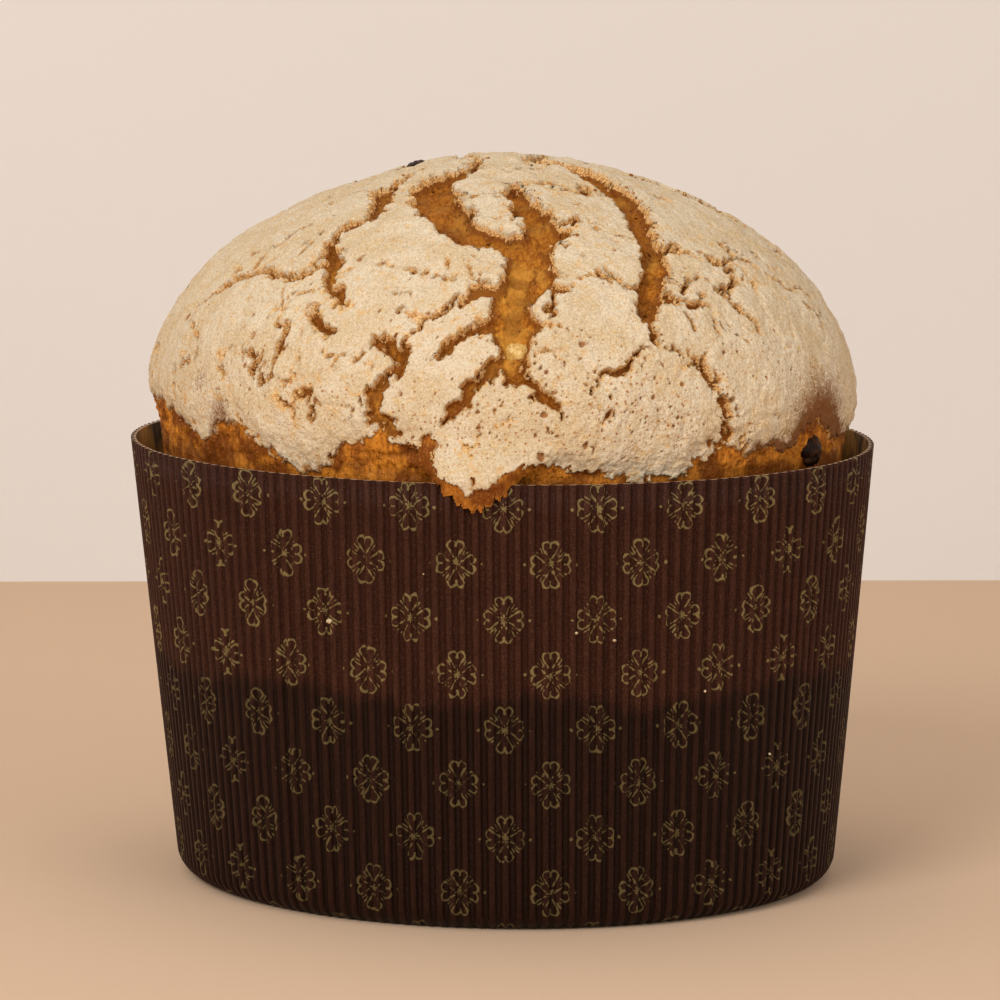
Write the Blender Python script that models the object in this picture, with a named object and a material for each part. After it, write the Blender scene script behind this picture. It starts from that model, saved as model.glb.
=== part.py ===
"""Panettone in its fluted paper case, as Blender solids. Metres, +Z up, -Y is the front.

The origin is the centre of the case's flat underside. The pieces are the paper case, the loaf with its
glazed dome, two raisins and a cube of candied peel that show through the crust.
"""

import math

import bmesh
import bpy
import numpy as np
from mathutils import Vector

MM = 0.001
GAP = 0.3 * MM  # what touching pieces keep between them
ROUND_GAP = 0.4 * MM  # the same between faceted rounds, whose flats come closer than their corners

# Paper case: a one-kilogram tall case, 168 mm across the foot and 110 mm high
CASE_HEIGHT = 110 * MM
CASE_RIM_RADIUS = 94.0 * MM
CASE_FOOT_RADIUS = 83.6 * MM  # where the wall meets the corner
CASE_CORNER_RADIUS = 6.3 * MM
CASE_LEAN = -1.85 * MM  # the rim's centre, against the foot's
FLUTES = 176
FLUTE_DEPTH = 0.8 * MM
LINER_THICKNESS = 0.5 * MM
CASE_WALL = FLUTE_DEPTH + LINER_THICKNESS
CASE_FLOOR = 1.0 * MM
CORNER_STEPS = 2
CAVITY_SIDES = 88
CAVITY_FOOT_RADIUS = 77.6 * MM
CAVITY_CORNER_HEIGHTS = [2.4 * MM, CASE_CORNER_RADIUS]
CUT_PAST_RIM = 10 * MM

# Loaf: it fills the case, stands off its upper wall and domes over the rim
LOAF_FOOT_RADIUS = 76.5 * MM
LOAF_SIDE_HEIGHTS = [h * MM for h in (44, 80, 88, 95, 102, 109, 116)]
LOAF_STANDS_OFF_ABOVE = 80 * MM
LOAF_WAIST_HEIGHT = 106 * MM
LOAF_WAIST_RADIUS = 87.6 * MM
DOME_BASE_HEIGHT = 122.8 * MM  # the level of its widest girth
DOME_RADIUS = 89.4 * MM
DOME_HEIGHT = 59.9 * MM
DOME_FULLNESS = 1.2  # radius goes as sin(polar) to this power: 1 is an ellipse
LOAF_CENTRE_X = -2.0 * MM
LOAF_SIDES = 72
DOME_RINGS = 16

# Soft dents of the dome: azimuth and polar angle, depth, spread
DOME_DENTS = [
    (-93, 26, 1.6 * MM, 11 * MM),
    (88, 58, 0.6 * MM, 16 * MM),
    (160, 42, 1.2 * MM, 20 * MM),
]

# Splits where the rising crumb tore the glaze: half-width, depth, and the route as (azimuth, polar) degrees.
# Azimuth is 0 at the front and grows to the right; polar is 0 at the crown and 90 at the widest girth.
SPLITS = {
    "centre_split": (
        4.6 * MM,
        2.6 * MM,
        [(-33, 24), (-29, 30), (-20, 35), (-12, 40), (-3, 44), (4, 48), (4, 54), (2, 60), (1.5, 67), (2, 75)],
    ),
    "right_split": (
        2.6 * MM,
        2.2 * MM,
        [(70, 17), (50, 24), (41, 31), (38, 39), (34, 48), (31, 54), (26, 61), (25.5, 69)],
    ),
    "left_split": (
        2.0 * MM,
        2.0 * MM,
        [(-49, 30), (-42, 36), (-40, 41), (-42.5, 46), (-42, 52), (-45, 57.5), (-55, 58), (-62, 62)],
    ),
    "crown_split": (
        2.4 * MM,
        2.0 * MM,
        [(9, 46), (9, 39), (5, 31), (10, 26), (24, 25.5), (36, 28)],
    ),
    "back_split": (
        3.2 * MM,
        2.4 * MM,
        [(150, 22), (163, 34), (158, 47), (166, 60), (160, 71)],
    ),
    "back_left_split": (
        2.2 * MM,
        2.0 * MM,
        [(-160, 30), (-140, 38), (-128, 50), (-131, 64), (-124, 76)],
    ),
}
SPLIT_END_SHARE = 0.35  # a split's half-width at its ends, as a share of the full one

# Tongue of crust that ran over the rim at the front, as stations down its length:
# (radius, height, thickness, width)
TONGUE_AZIMUTH = -4.6
TONGUE_STATIONS = [
    (83.0 * MM, 122.5 * MM, 5.0 * MM, 40.0 * MM),
    (88.4 * MM, 119.6 * MM, 4.4 * MM, 29.0 * MM),
    (92.2 * MM, 115.6 * MM, 3.6 * MM, 20.5 * MM),
    (95.0 * MM, 111.8 * MM, 2.8 * MM, 16.0 * MM),
    (96.4 * MM, 108.2 * MM, 2.2 * MM, 12.0 * MM),
    (96.2 * MM, 105.2 * MM, 1.2 * MM, 5.0 * MM),
]
TONGUE_SECTION_SIDES = 10

# Fruit that shows: where its face is, how far it stands out of the loaf, and length, breadth and depth
SIDE_RAISIN = dict(azimuth=61.5, height=113.0 * MM, proud=0.9 * MM, size=(11 * MM, 8.5 * MM, 7 * MM))
CROWN_RAISIN = dict(azimuth=-112, polar=19.5, proud=2.0 * MM, size=(12 * MM, 9 * MM, 7 * MM))
CANDIED_PEEL = dict(azimuth=2.2, polar=71.5, proud=-0.9 * MM, size=(6.5 * MM, 6 * MM, 5 * MM))
RAISIN_FOLDS = 5  # wrinkles round a raisin


# ---------------------------------------------------------------- scene


def clear_scene():
    for thing in list(bpy.data.objects):
        bpy.data.objects.remove(thing, do_unlink=True)


def collection(name):
    made = bpy.data.collections.new(name)
    bpy.context.scene.collection.children.link(made)
    return made


def material(name, colour, roughness):
    made = bpy.data.materials.new(name)
    made.use_nodes = True
    shader = made.node_tree.nodes["Principled BSDF"]
    shader.inputs["Base Color"].default_value = (*colour, 1)
    shader.inputs["Roughness"].default_value = roughness
    made.diffuse_color = (*colour, 1)
    return made


def object_from(bm, name, group, look=None):
    """A mesh object from a bmesh, with its faces pointing out and its round parts shaded smooth."""
    bm.normal_update()
    bmesh.ops.recalc_face_normals(bm, faces=bm.faces)
    mesh = bpy.data.meshes.new(name)
    bm.to_mesh(mesh)
    bm.free()
    mesh.shade_smooth()
    mesh.set_sharp_from_angle(angle=math.radians(35))
    made = bpy.data.objects.new(name, mesh)
    group.objects.link(made)
    if look:
        mesh.materials.append(look)
    else:
        made.hide_render = True
        made.display_type = "WIRE"
    return made


def boolean(target, tool, operation):
    """Cuts or joins tool on target with the exact solver, and applies it."""
    modifier = target.modifiers.new(tool.name, "BOOLEAN")
    modifier.operation = operation
    modifier.solver = "EXACT"
    modifier.object = tool
    bpy.context.view_layer.update()
    evaluated = target.evaluated_get(bpy.context.evaluated_depsgraph_get())
    result = bpy.data.meshes.new_from_object(evaluated)
    target.modifiers.clear()
    target.data = result


# ---------------------------------------------------------------- shapes shared by the pieces


def case_radius(height):
    """Radius of the flute crests at a height: a straight flare over a quarter-round corner."""
    if height >= CASE_CORNER_RADIUS:
        share = (height - CASE_CORNER_RADIUS) / (CASE_HEIGHT - CASE_CORNER_RADIUS)
        return CASE_FOOT_RADIUS + (CASE_RIM_RADIUS - CASE_FOOT_RADIUS) * share
    rise = CASE_CORNER_RADIUS - height
    return CASE_FOOT_RADIUS - CASE_CORNER_RADIUS + math.sqrt(CASE_CORNER_RADIUS**2 - rise**2)


def case_centre_x(height):
    """The case leans a little, so the rim's centre lies left of the foot's."""
    return CASE_LEAN * height / CASE_HEIGHT


def ring_loft(rings):
    """A closed skin through rings of points that all have the same count, with the two ends capped."""
    bm = bmesh.new()
    loops = [[bm.verts.new(point) for point in ring] for ring in rings]
    for lower, upper in zip(loops, loops[1:]):
        for i, vertex in enumerate(lower):
            j = (i + 1) % len(lower)
            bm.faces.new((vertex, lower[j], upper[j], upper[i]))
    bm.faces.new(loops[0])
    bm.faces.new(loops[-1])
    return bm


def round_ring(radius, height, centre_x, sides, flute=0.0):
    """Points round a circle from the front; every other one is drawn in by flute, as a folded flute."""
    points = []
    for i in range(sides):
        angle = math.tau * i / sides
        r = radius - (flute if i % 2 else 0.0)
        points.append((centre_x + r * math.sin(angle), -r * math.cos(angle), height))
    return points


# ---------------------------------------------------------------- paper case


def fluted_block():
    """The case's outside as a solid block: flat foot, fluted corner and flared fluted wall."""
    sides = 2 * FLUTES
    rings = [round_ring(CASE_FOOT_RADIUS - CASE_CORNER_RADIUS, 0, 0, sides)]
    for step in range(1, CORNER_STEPS + 1):
        turn = math.pi / 2 * step / CORNER_STEPS
        height = CASE_CORNER_RADIUS * (1 - math.cos(turn))
        radius = CASE_FOOT_RADIUS - CASE_CORNER_RADIUS * (1 - math.sin(turn))
        fold = FLUTE_DEPTH * min(1.0, 1.5 * math.sin(turn))
        rings.append(round_ring(radius, height, case_centre_x(height), sides, fold))
    rings.append(round_ring(CASE_RIM_RADIUS, CASE_HEIGHT, CASE_LEAN, sides, FLUTE_DEPTH))
    return ring_loft(rings)


def cavity_cutter():
    """The smooth inside of the liner, as a block that stands above the rim."""
    rings = [round_ring(CAVITY_FOOT_RADIUS, CASE_FLOOR, 0, CAVITY_SIDES)]
    for height in CAVITY_CORNER_HEIGHTS:
        radius = case_radius(height) - CASE_WALL
        rings.append(round_ring(radius, height, case_centre_x(height), CAVITY_SIDES))
    above = CASE_HEIGHT + CUT_PAST_RIM
    rings.append(round_ring(case_radius(above) - CASE_WALL, above, case_centre_x(above), CAVITY_SIDES))
    return ring_loft(rings)


def make_case(parts, cutters, paper):
    case = object_from(fluted_block(), "paper_case", parts, paper)
    boolean(case, object_from(cavity_cutter(), "case_cavity", cutters), "DIFFERENCE")


# ---------------------------------------------------------------- loaf


def dome_point(azimuth, polar):
    """A point of the plain dome. Its radius goes as the sine of the polar angle, its height as the cosine."""
    a, p = math.radians(azimuth), math.radians(polar)
    radius = DOME_RADIUS * max(math.sin(p), 0.0) ** DOME_FULLNESS
    return Vector(
        (
            LOAF_CENTRE_X + radius * math.sin(a),
            -radius * math.cos(a),
            DOME_BASE_HEIGHT + DOME_HEIGHT * math.cos(p),
        )
    )


def dome_normal(azimuth, polar):
    """The dome's outward direction there, from four points half a degree away."""
    step = 0.5
    low, high = max(polar - step, 0.5), polar + step
    down = dome_point(azimuth, high) - dome_point(azimuth, low)
    round_it = dome_point(azimuth + step, high) - dome_point(azimuth - step, high)
    return round_it.cross(-down).normalized()


def dented(point):
    """The point moved in towards the loaf's middle by the soft dents near it."""
    middle = Vector((LOAF_CENTRE_X, 0, DOME_BASE_HEIGHT - 20 * MM))
    inward = (middle - point).normalized()
    total = 0.0
    for azimuth, polar, depth, spread in DOME_DENTS:
        away = (point - dome_point(azimuth, polar)).length
        total += depth * math.exp(-((away / spread) ** 2) / 2)
    return point + inward * total


def loaf_side_radius(height):
    """Below the girth: along the liner, then a smooth step in to the waist and out again to the girth."""
    against = case_radius(min(height, LOAF_STANDS_OFF_ABOVE)) - CASE_WALL - ROUND_GAP
    if height <= LOAF_STANDS_OFF_ABOVE:
        return against
    if height <= LOAF_WAIST_HEIGHT:
        low, high = LOAF_STANDS_OFF_ABOVE, LOAF_WAIST_HEIGHT
        start, end = against, LOAF_WAIST_RADIUS
    else:
        low, high = LOAF_WAIST_HEIGHT, DOME_BASE_HEIGHT
        start, end = LOAF_WAIST_RADIUS, DOME_RADIUS
    share = (height - low) / (high - low)
    return start + (end - start) * share * share * (3 - 2 * share)


def loaf_block():
    """The loaf without its splits: rings up the side and over the dome, closed at foot and crown."""
    rings = [round_ring(LOAF_FOOT_RADIUS, CASE_FLOOR + GAP, 0, LOAF_SIDES)]
    for height in CAVITY_CORNER_HEIGHTS:
        rings.append(round_ring(loaf_side_radius(height), height + GAP, case_centre_x(height), LOAF_SIDES))
    for height in LOAF_SIDE_HEIGHTS:
        centre = max(case_centre_x(height), LOAF_CENTRE_X)
        rings.append(round_ring(loaf_side_radius(height), height, centre, LOAF_SIDES))
    azimuths = [360 * i / LOAF_SIDES for i in range(LOAF_SIDES)]
    for step in range(DOME_RINGS):
        polar = 90 * (1 - step / DOME_RINGS)
        rings.append([dented(dome_point(azimuth, polar)) for azimuth in azimuths])
    return ring_loft(rings)


def tongue_block():
    """The tongue of crust: rounded sections, thick and wide in the loaf and thin and narrow at the tip."""
    out = Vector((math.sin(math.radians(TONGUE_AZIMUTH)), -math.cos(math.radians(TONGUE_AZIMUTH)), 0))
    across = Vector((-out.y, out.x, 0))
    up = Vector((0, 0, 1))
    centre = Vector((LOAF_CENTRE_X, 0, 0))
    spine = [centre + out * s[0] + up * s[1] for s in TONGUE_STATIONS]
    rings = []
    for i, (_, _, thickness, width) in enumerate(TONGUE_STATIONS):
        along = (spine[min(i + 1, len(spine) - 1)] - spine[max(i - 1, 0)]).normalized()
        over = across.cross(along).normalized()
        ring = []
        for k in range(TONGUE_SECTION_SIDES):
            turn = math.tau * k / TONGUE_SECTION_SIDES
            side = math.copysign(abs(math.cos(turn)) ** 0.7, math.cos(turn)) * width / 2
            high = math.copysign(abs(math.sin(turn)) ** 0.8, math.sin(turn)) * thickness / 2
            ring.append(spine[i] + across * side + over * high)
        rings.append(ring)
    return ring_loft(rings)


def smooth_route(route, spacing):
    """Points at about the spacing along a Catmull-Rom curve through a route of (azimuth, polar) pairs."""
    ends = [route[0], *route, route[-1]]
    points = []
    for a, b, c, d in zip(ends, ends[1:], ends[2:], ends[3:]):
        a, b, c, d = (np.array(p, float) for p in (a, b, c, d))
        span = (dome_point(*c) - dome_point(*b)).length
        for t in np.arange(0, 1, 1 / max(1, round(span / spacing))):
            bend = 2 * b + (c - a) * t + (2 * a - 5 * b + 4 * c - d) * t**2 + (3 * b - a - 3 * c + d) * t**3
            points.append(tuple(bend / 2))
    return points + [route[-1]]


def split_cutter(name, half_width, depth, route, cutters):
    """A round bar laid in the dome so that it cuts a trough of that half-width and depth, tapered at its ends."""
    points = smooth_route(route, 7 * MM)
    curve = bpy.data.curves.new(name, "CURVE")
    curve.dimensions = "3D"
    curve.bevel_depth = 1.0
    curve.bevel_resolution = 1
    curve.use_fill_caps = True
    spline = curve.splines.new("POLY")
    spline.points.add(len(points) - 1)
    for i, (azimuth, polar) in enumerate(points):
        swell = math.sin(math.pi * (i + 0.5) / len(points)) ** 0.6
        share = SPLIT_END_SHARE + (1 - SPLIT_END_SHARE) * swell
        a, d = half_width * share, depth * share
        bar = (a * a + d * d) / (2 * d)
        place = dented(dome_point(azimuth, polar)) + dome_normal(azimuth, polar) * (bar - d)
        spline.points[i].co = (*place, 1)
        spline.points[i].radius = bar
    tube = bpy.data.objects.new(name + "_bar", curve)
    cutters.objects.link(tube)
    bpy.context.view_layer.update()
    evaluated = tube.evaluated_get(bpy.context.evaluated_depsgraph_get())
    mesh = bpy.data.meshes.new_from_object(evaluated)
    bm = bmesh.new()
    bm.from_mesh(mesh)
    bmesh.ops.remove_doubles(bm, verts=bm.verts, dist=0.01 * MM)
    bpy.data.objects.remove(tube, do_unlink=True)
    return object_from(bm, name, cutters)


def make_loaf(parts, cutters, crust):
    loaf = object_from(loaf_block(), "loaf", parts, crust)
    tongue = object_from(tongue_block(), "tongue", cutters)
    boolean(loaf, tongue, "UNION")
    for name, (half_width, depth, route) in SPLITS.items():
        boolean(loaf, split_cutter(name, half_width, depth, route, cutters), "DIFFERENCE")
    return loaf


# ---------------------------------------------------------------- fruit


def fruit_frame(azimuth, proud, size, polar=None, height=None):
    """Where a fruit sits: its middle and its outward direction, from a polar angle or from a height."""
    if polar is not None:
        out = dome_normal(azimuth, polar)
        face = dented(dome_point(azimuth, polar))
    else:
        a = math.radians(azimuth)
        out = Vector((math.sin(a), -math.cos(a), 0))
        face = Vector((LOAF_CENTRE_X, 0, height)) + out * loaf_side_radius(height)
    return face + out * (proud - size[2] / 2), out


def fruit_body(name, group, frame, size, squareness, ripple, grow, look=None):
    """A sphere pressed to size; squareness under 1 makes it boxy, ripple wrinkles it, grow widens it all round."""
    middle, out = frame
    turn = out.to_track_quat("Z", "Y")
    bm = bmesh.new()
    bmesh.ops.create_uvsphere(bm, u_segments=16, v_segments=10, radius=1)
    for vertex in bm.verts:
        x, y, z = (math.copysign(abs(c) ** squareness, c) for c in vertex.co)
        around = math.atan2(vertex.co.y, vertex.co.x)
        fold = 1 + ripple * math.sin(RAISIN_FOLDS * around) * math.sqrt(max(0.0, 1 - vertex.co.z**2))
        half = [s / 2 + grow for s in size]
        place = Vector((x * half[0] * fold, y * half[1] * fold, z * half[2]))
        vertex.co = middle + turn @ place
    return object_from(bm, name, group, look)


def make_fruit(name, loaf, parts, cutters, frame, size, squareness, ripple, look):
    """A fruit in a socket of the loaf that is one gap wider all round."""
    socket = fruit_body(name + "_socket", cutters, frame, size, squareness, ripple, ROUND_GAP)
    boolean(loaf, socket, "DIFFERENCE")
    fruit_body(name, parts, frame, size, squareness, ripple, 0.0, look)


# ---------------------------------------------------------------- the whole


def main():
    clear_scene()
    parts = collection("panettone")
    cutters = collection("cutters")
    paper = material("brown_case_paper", (0.045, 0.017, 0.010), 0.55)
    crust = material("glazed_crust", (0.62, 0.46, 0.27), 0.85)
    raisin_skin = material("raisin_skin", (0.022, 0.010, 0.006), 0.4)
    peel_flesh = material("candied_peel_flesh", (0.60, 0.36, 0.08), 0.35)
    make_case(parts, cutters, paper)
    loaf = make_loaf(parts, cutters, crust)
    fruits = (
        ("side_raisin", SIDE_RAISIN, 1.0, 0.10, raisin_skin),
        ("crown_raisin", CROWN_RAISIN, 1.0, 0.08, raisin_skin),
        ("candied_peel", CANDIED_PEEL, 0.75, 0.0, peel_flesh),
    )
    for name, place, squareness, ripple, look in fruits:
        frame = fruit_frame(**place)
        make_fruit(name, loaf, parts, cutters, frame, place["size"], squareness, ripple, look)
    for tool in list(cutters.objects):
        tool.hide_render = True
        tool.hide_viewport = True


main()
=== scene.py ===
import math

import bpy
import numpy as np
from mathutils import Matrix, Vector


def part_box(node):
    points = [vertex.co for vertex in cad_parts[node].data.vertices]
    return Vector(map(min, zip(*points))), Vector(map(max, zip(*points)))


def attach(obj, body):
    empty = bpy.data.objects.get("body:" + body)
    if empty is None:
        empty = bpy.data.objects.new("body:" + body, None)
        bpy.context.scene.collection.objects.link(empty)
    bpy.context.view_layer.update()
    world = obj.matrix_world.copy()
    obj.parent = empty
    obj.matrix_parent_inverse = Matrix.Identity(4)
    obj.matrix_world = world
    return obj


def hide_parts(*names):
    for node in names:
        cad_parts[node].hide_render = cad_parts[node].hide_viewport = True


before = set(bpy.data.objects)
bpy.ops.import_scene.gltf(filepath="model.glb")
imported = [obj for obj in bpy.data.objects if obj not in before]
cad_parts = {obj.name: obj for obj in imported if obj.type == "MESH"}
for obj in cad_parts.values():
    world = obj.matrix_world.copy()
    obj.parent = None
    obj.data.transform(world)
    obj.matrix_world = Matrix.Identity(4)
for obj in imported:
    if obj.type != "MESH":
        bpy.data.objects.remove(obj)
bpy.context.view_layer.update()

MM = 0.001


# ------------------------------------------------------------------ paper case
# The case is a baking paper folded into fine upright flutes and glued round a smooth greaseproof liner.
# It flares from a round-cornered foot to a plain cut rim. Its print was laid on the flat sheet before it
# was fluted, so the flowers are squeezed sideways, and its lower half is darker.

case_low, case_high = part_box("paper_case")
CASE_HEIGHT = case_high.z
RIM_RADIUS = (case_high.x - case_low.x) / 2
RIM_CENTRE_X = (case_high.x + case_low.x) / 2
CORNER_RADIUS = 6.3 * MM
FOOT_RADIUS = RIM_RADIUS - 10.4 * MM
CASE_WALL = 1.3 * MM
FLUTES = 176
FLUTE_DEPTH = 1.05 * MM
LINER_STATIONS = 10  # down the liner and over the floor
FLUTE_PHASES = [0.0, 0.1, 0.19, 0.26, 0.31, 0.36, 0.42, 0.5, 0.58, 0.64, 0.69, 0.74, 0.81, 0.9]
FLOWER_COLUMNS = 52
FLOWER_ROW = 27.0 * MM
FLOWER_COLUMN_FLAT = 13.6 * MM
PAPER_RED_BROWN = (0.031, 0.0082, 0.0034)
PAPER_CREST = (0.046, 0.0145, 0.0070)
PAPER_DARK = (0.0090, 0.0030, 0.0014)
PAPER_DUST = (0.100, 0.036, 0.019)
INK_OLIVE = (0.185, 0.132, 0.050)
LINER_OLIVE = (0.360, 0.200, 0.026)
PAPER_CUT_EDGE = (0.60, 0.42, 0.30)


def case_radius(height):
    """How far the case's wall stands from its axis at a height above the corner of its foot."""
    share = (height - CORNER_RADIUS) / (CASE_HEIGHT - CORNER_RADIUS)
    return FOOT_RADIUS + (RIM_RADIUS - FOOT_RADIUS) * share


def flute_height(phase):
    """How far out a flute's paper is, from 0 in the valley to 1 on the crest: a cosine of the phase,
    flattened at both ends by a hyperbolic tangent."""
    bend = np.tanh(2.1 * (np.cos(2 * np.pi * phase) + 0.12))
    return (bend - np.tanh(-2.1 * 0.88)) / (np.tanh(2.1 * 1.12) - np.tanh(-2.1 * 0.88))


def case_stations():
    """The case's section from the middle of its underside, round its foot, up its outside, over the rim and
    down inside to the middle of its floor: radius, height, share of the flutes' depth."""
    stations = [(40 * MM, 0.0, 0.0), (FOOT_RADIUS - CORNER_RADIUS - 1.5 * MM, 0.0, 0.0)]
    for turn in np.radians([6, 20, 34, 48, 62, 76, 90]):
        radius = FOOT_RADIUS - CORNER_RADIUS * (1 - math.sin(turn))
        stations.append((radius, CORNER_RADIUS * (1 - math.cos(turn)), 0.35 + 0.77 * math.sin(turn) ** 2))
    for share in np.linspace(0, 1, 15)[1:]:
        radius = FOOT_RADIUS + (RIM_RADIUS - FOOT_RADIUS) * share
        height = CORNER_RADIUS + (CASE_HEIGHT - CORNER_RADIUS) * share
        stations.append((radius, height, 1.12 - 0.12 * min(1, 4 * share)))
    inside = RIM_RADIUS - CASE_WALL
    stations.append((inside + 0.25 * MM, CASE_HEIGHT, 0.12))
    for share in np.linspace(0, 1, LINER_STATIONS - 2):
        radius = inside + (FOOT_RADIUS - RIM_RADIUS) * share
        stations.append((radius, CASE_HEIGHT - 0.1 * MM - (CASE_HEIGHT - CORNER_RADIUS) * share, 0.1))
    stations.append((FOOT_RADIUS - 6 * MM, 1.0 * MM, 0.0))
    stations.append((30 * MM, 1.0 * MM, 0.0))
    return np.array(stations)


def round_the_axis(centre_x, radius, azimuth, height):
    """Points at a radius from an upright axis, by their azimuth in radians from the front, and height."""
    across, along = centre_x + radius * np.sin(azimuth), -radius * np.cos(azimuth)
    return np.stack([across, along, height + 0 * azimuth], axis=-1)


def ring_faces(rows, columns):
    """Four corners of each cell of a grid of points whose last column meets its first, row by row."""
    left = np.arange(rows * columns).reshape(rows, columns)
    right = np.roll(left, -1, axis=1)
    return np.stack([left[:-1], right[:-1], right[1:], left[1:]], axis=-1).reshape(-1, 4)


def capped_faces(rows, columns):
    """The faces of a closed turned shape: its rings' cells, and one face over each of its end rings."""
    first, last = np.arange(columns)[::-1], (rows - 1) * columns + np.arange(columns)
    return [ring_faces(rows, columns), first[None], last[None]]


def new_piece(name, points, faces, look, numbers=None, normals=None):
    """A smooth mesh object from an array of points and a list of arrays of faces, riding on the root, with a
    number per point for each named attribute, and normals of its own where they're given."""
    mesh = bpy.data.meshes.new(name)
    corners = np.concatenate([group.ravel() for group in faces]).astype(np.int32)
    sizes = np.concatenate([np.full(len(group), group.shape[1]) for group in faces])
    mesh.vertices.add(len(points))
    mesh.vertices.foreach_set("co", np.asarray(points, np.float32).ravel())
    mesh.loops.add(len(corners))
    mesh.loops.foreach_set("vertex_index", corners)
    mesh.polygons.add(len(sizes))
    mesh.polygons.foreach_set("loop_start", np.concatenate([[0], np.cumsum(sizes)[:-1]]).astype(np.int32))
    mesh.update(calc_edges=True)
    mesh.validate()
    mesh.shade_smooth()
    for attribute, values in (numbers or {}).items():
        layer = mesh.attributes.new(attribute, "FLOAT", "POINT")
        layer.data.foreach_set("value", np.asarray(values, np.float32).ravel())
    if normals is not None:
        mesh.normals_split_custom_set_from_vertices(normals.astype(np.float32))
    mesh.materials.append(look)
    piece = bpy.data.objects.new(name, mesh)
    bpy.context.scene.collection.objects.link(piece)
    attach(piece, "root")
    return piece


def make_case(look):
    """Each flute repeats the same phases round the case; a random share of its depth and place makes it one
    of a row folded by machine and pushed about by hand. In front and behind, the flutes stay nearly parallel
    down to the foot."""
    dice = np.random.default_rng(7)
    depth = dice.normal(1, 0.07, FLUTES)[:, None]
    shift = dice.normal(0, 0.022, FLUTES)[:, None]
    phase = np.array(FLUTE_PHASES)
    place = np.arange(FLUTES)[:, None] + phase + shift * np.sin(np.pi * phase)
    turn = (place / FLUTES).ravel() * 2 * np.pi
    crease_shade = (FLUTE_DEPTH * depth * (1 - flute_height(phase))).ravel()
    radius, height, share = case_stations().T[:, :, None]
    lean = RIM_CENTRE_X * height / CASE_HEIGHT
    sway = 0.35 * MM * (np.sin(3 * turn + 0.8) - 1) * (height / CASE_HEIGHT) ** 2
    reach = radius - crease_shade * share + sway
    open_turn = turn + 0.045 * np.sin(2 * turn) * (1 - height / CASE_HEIGHT)
    points = round_the_axis(lean, reach, open_turn, height)
    rows, columns = points.shape[:2]
    station, rim_station = np.arange(rows)[:, None], rows - LINER_STATIONS - 1
    numbers = {
        "crest": np.tile(flute_height(phase), FLUTES) + 0 * height,
        "outside": (station < rim_station) + 0 * turn,
        "cut_edge": (station == rim_station) + 0 * turn,
    }
    faces = capped_faces(rows, columns)
    case = new_piece("fluted_case", points.reshape(-1, 3), faces, look, numbers)
    rise = np.diff(np.append(RIM_RADIUS - crease_shade, RIM_RADIUS - crease_shade[0]))
    run = RIM_RADIUS * np.diff(np.append(turn, turn[0] + 2 * np.pi))
    step = np.hypot(rise, run)
    sheet = np.append(0, np.cumsum(step)) / step.sum() * FLOWER_COLUMNS
    flat = case.data.uv_layers.new(name="sheet")
    column = np.tile(np.arange(columns), rows - 1)
    row = np.repeat(np.arange(rows - 1), columns)
    u = np.stack([sheet[column], sheet[column + 1], sheet[column + 1], sheet[column]], axis=-1)
    v = height[:, 0][np.stack([row, row, row + 1, row + 1], axis=-1)] / FLOWER_ROW
    caps = np.zeros((2 * columns, 2))
    corners = np.concatenate([np.stack([u, v], axis=-1).reshape(-1, 2), caps])
    flat.data.foreach_set("uv", corners.ravel().astype(np.float32))
    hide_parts("paper_case")
    return case


def add(tree, kind, inputs=(), output=0, **settings):
    """Adds a node, sets its settings and its inputs by name or number, each to a value or linked to a socket,
    and gives back one of its outputs."""
    made = tree.nodes.new(kind)
    for name, value in settings.items():
        setattr(made, name, value)
    for name, value in dict(inputs).items():
        if isinstance(value, bpy.types.NodeSocket):
            tree.links.new(value, made.inputs[name])
        else:
            made.inputs[name].default_value = value
    return made.outputs[output]


def tree_of(values):
    """The node tree that the first socket among some values stands in."""
    return next(value.id_data for value in values if isinstance(value, bpy.types.NodeSocket))


def calc(operation, *values):
    """One step of arithmetic on sockets and numbers."""
    return add(tree_of(values), "ShaderNodeMath", dict(enumerate(values)), operation=operation)


def times(a, b):
    return calc("MULTIPLY", a, b)


def times_add(a, b, more):
    return calc("MULTIPLY_ADD", a, b, more)


def blend(share, under, over):
    """Mixes two colours; each is a socket or red, green and blue."""
    colours = [c if isinstance(c, bpy.types.NodeSocket) else (*c, 1) for c in (under, over)]
    return add(share.id_data, "ShaderNodeMix", {0: share, 6: colours[0], 7: colours[1]}, 2, data_type="RGBA")


def steps(value, low, high, reach=(0.0, 1.0)):
    """A smooth step of a value, over the reach given as it goes from low to high."""
    ends = {0: value, 1: low, 2: high, 3: reach[0], 4: reach[1]}
    return add(value.id_data, "ShaderNodeMapRange", ends, interpolation_type="SMOOTHSTEP")


def layered(colour, *layers):
    """Lays colours over one: each layer has the value that it follows, where it starts and where it is full,
    its share there, and its colour."""
    for value, start, full, share, over in layers:
        colour = blend(steps(value, start, full, (0.0, share)), colour, over)
    return colour


def noise(place, size, detail=3.0, roughness=0.5):
    """Noise whose lumps are about that size, from 0 to 1."""
    inputs = {"Vector": place, "Scale": 1 / size, "Detail": detail, "Roughness": roughness}
    return add(place.id_data, "ShaderNodeTexNoise", inputs)


def stretched(place, *scale):
    """A place with its axes scaled, so that a pattern read there is drawn out along some of them."""
    return add(place.id_data, "ShaderNodeMapping", {"Vector": place, "Scale": scale})


def new_look(name, specular):
    """A material of that specular level: the material, its node tree and its shader."""
    look = bpy.data.materials.new(name)
    look.use_nodes = True
    tree = look.node_tree
    shader = tree.nodes["Principled BSDF"]
    shader.inputs["Specular IOR Level"].default_value = specular
    return look, tree, shader


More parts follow.
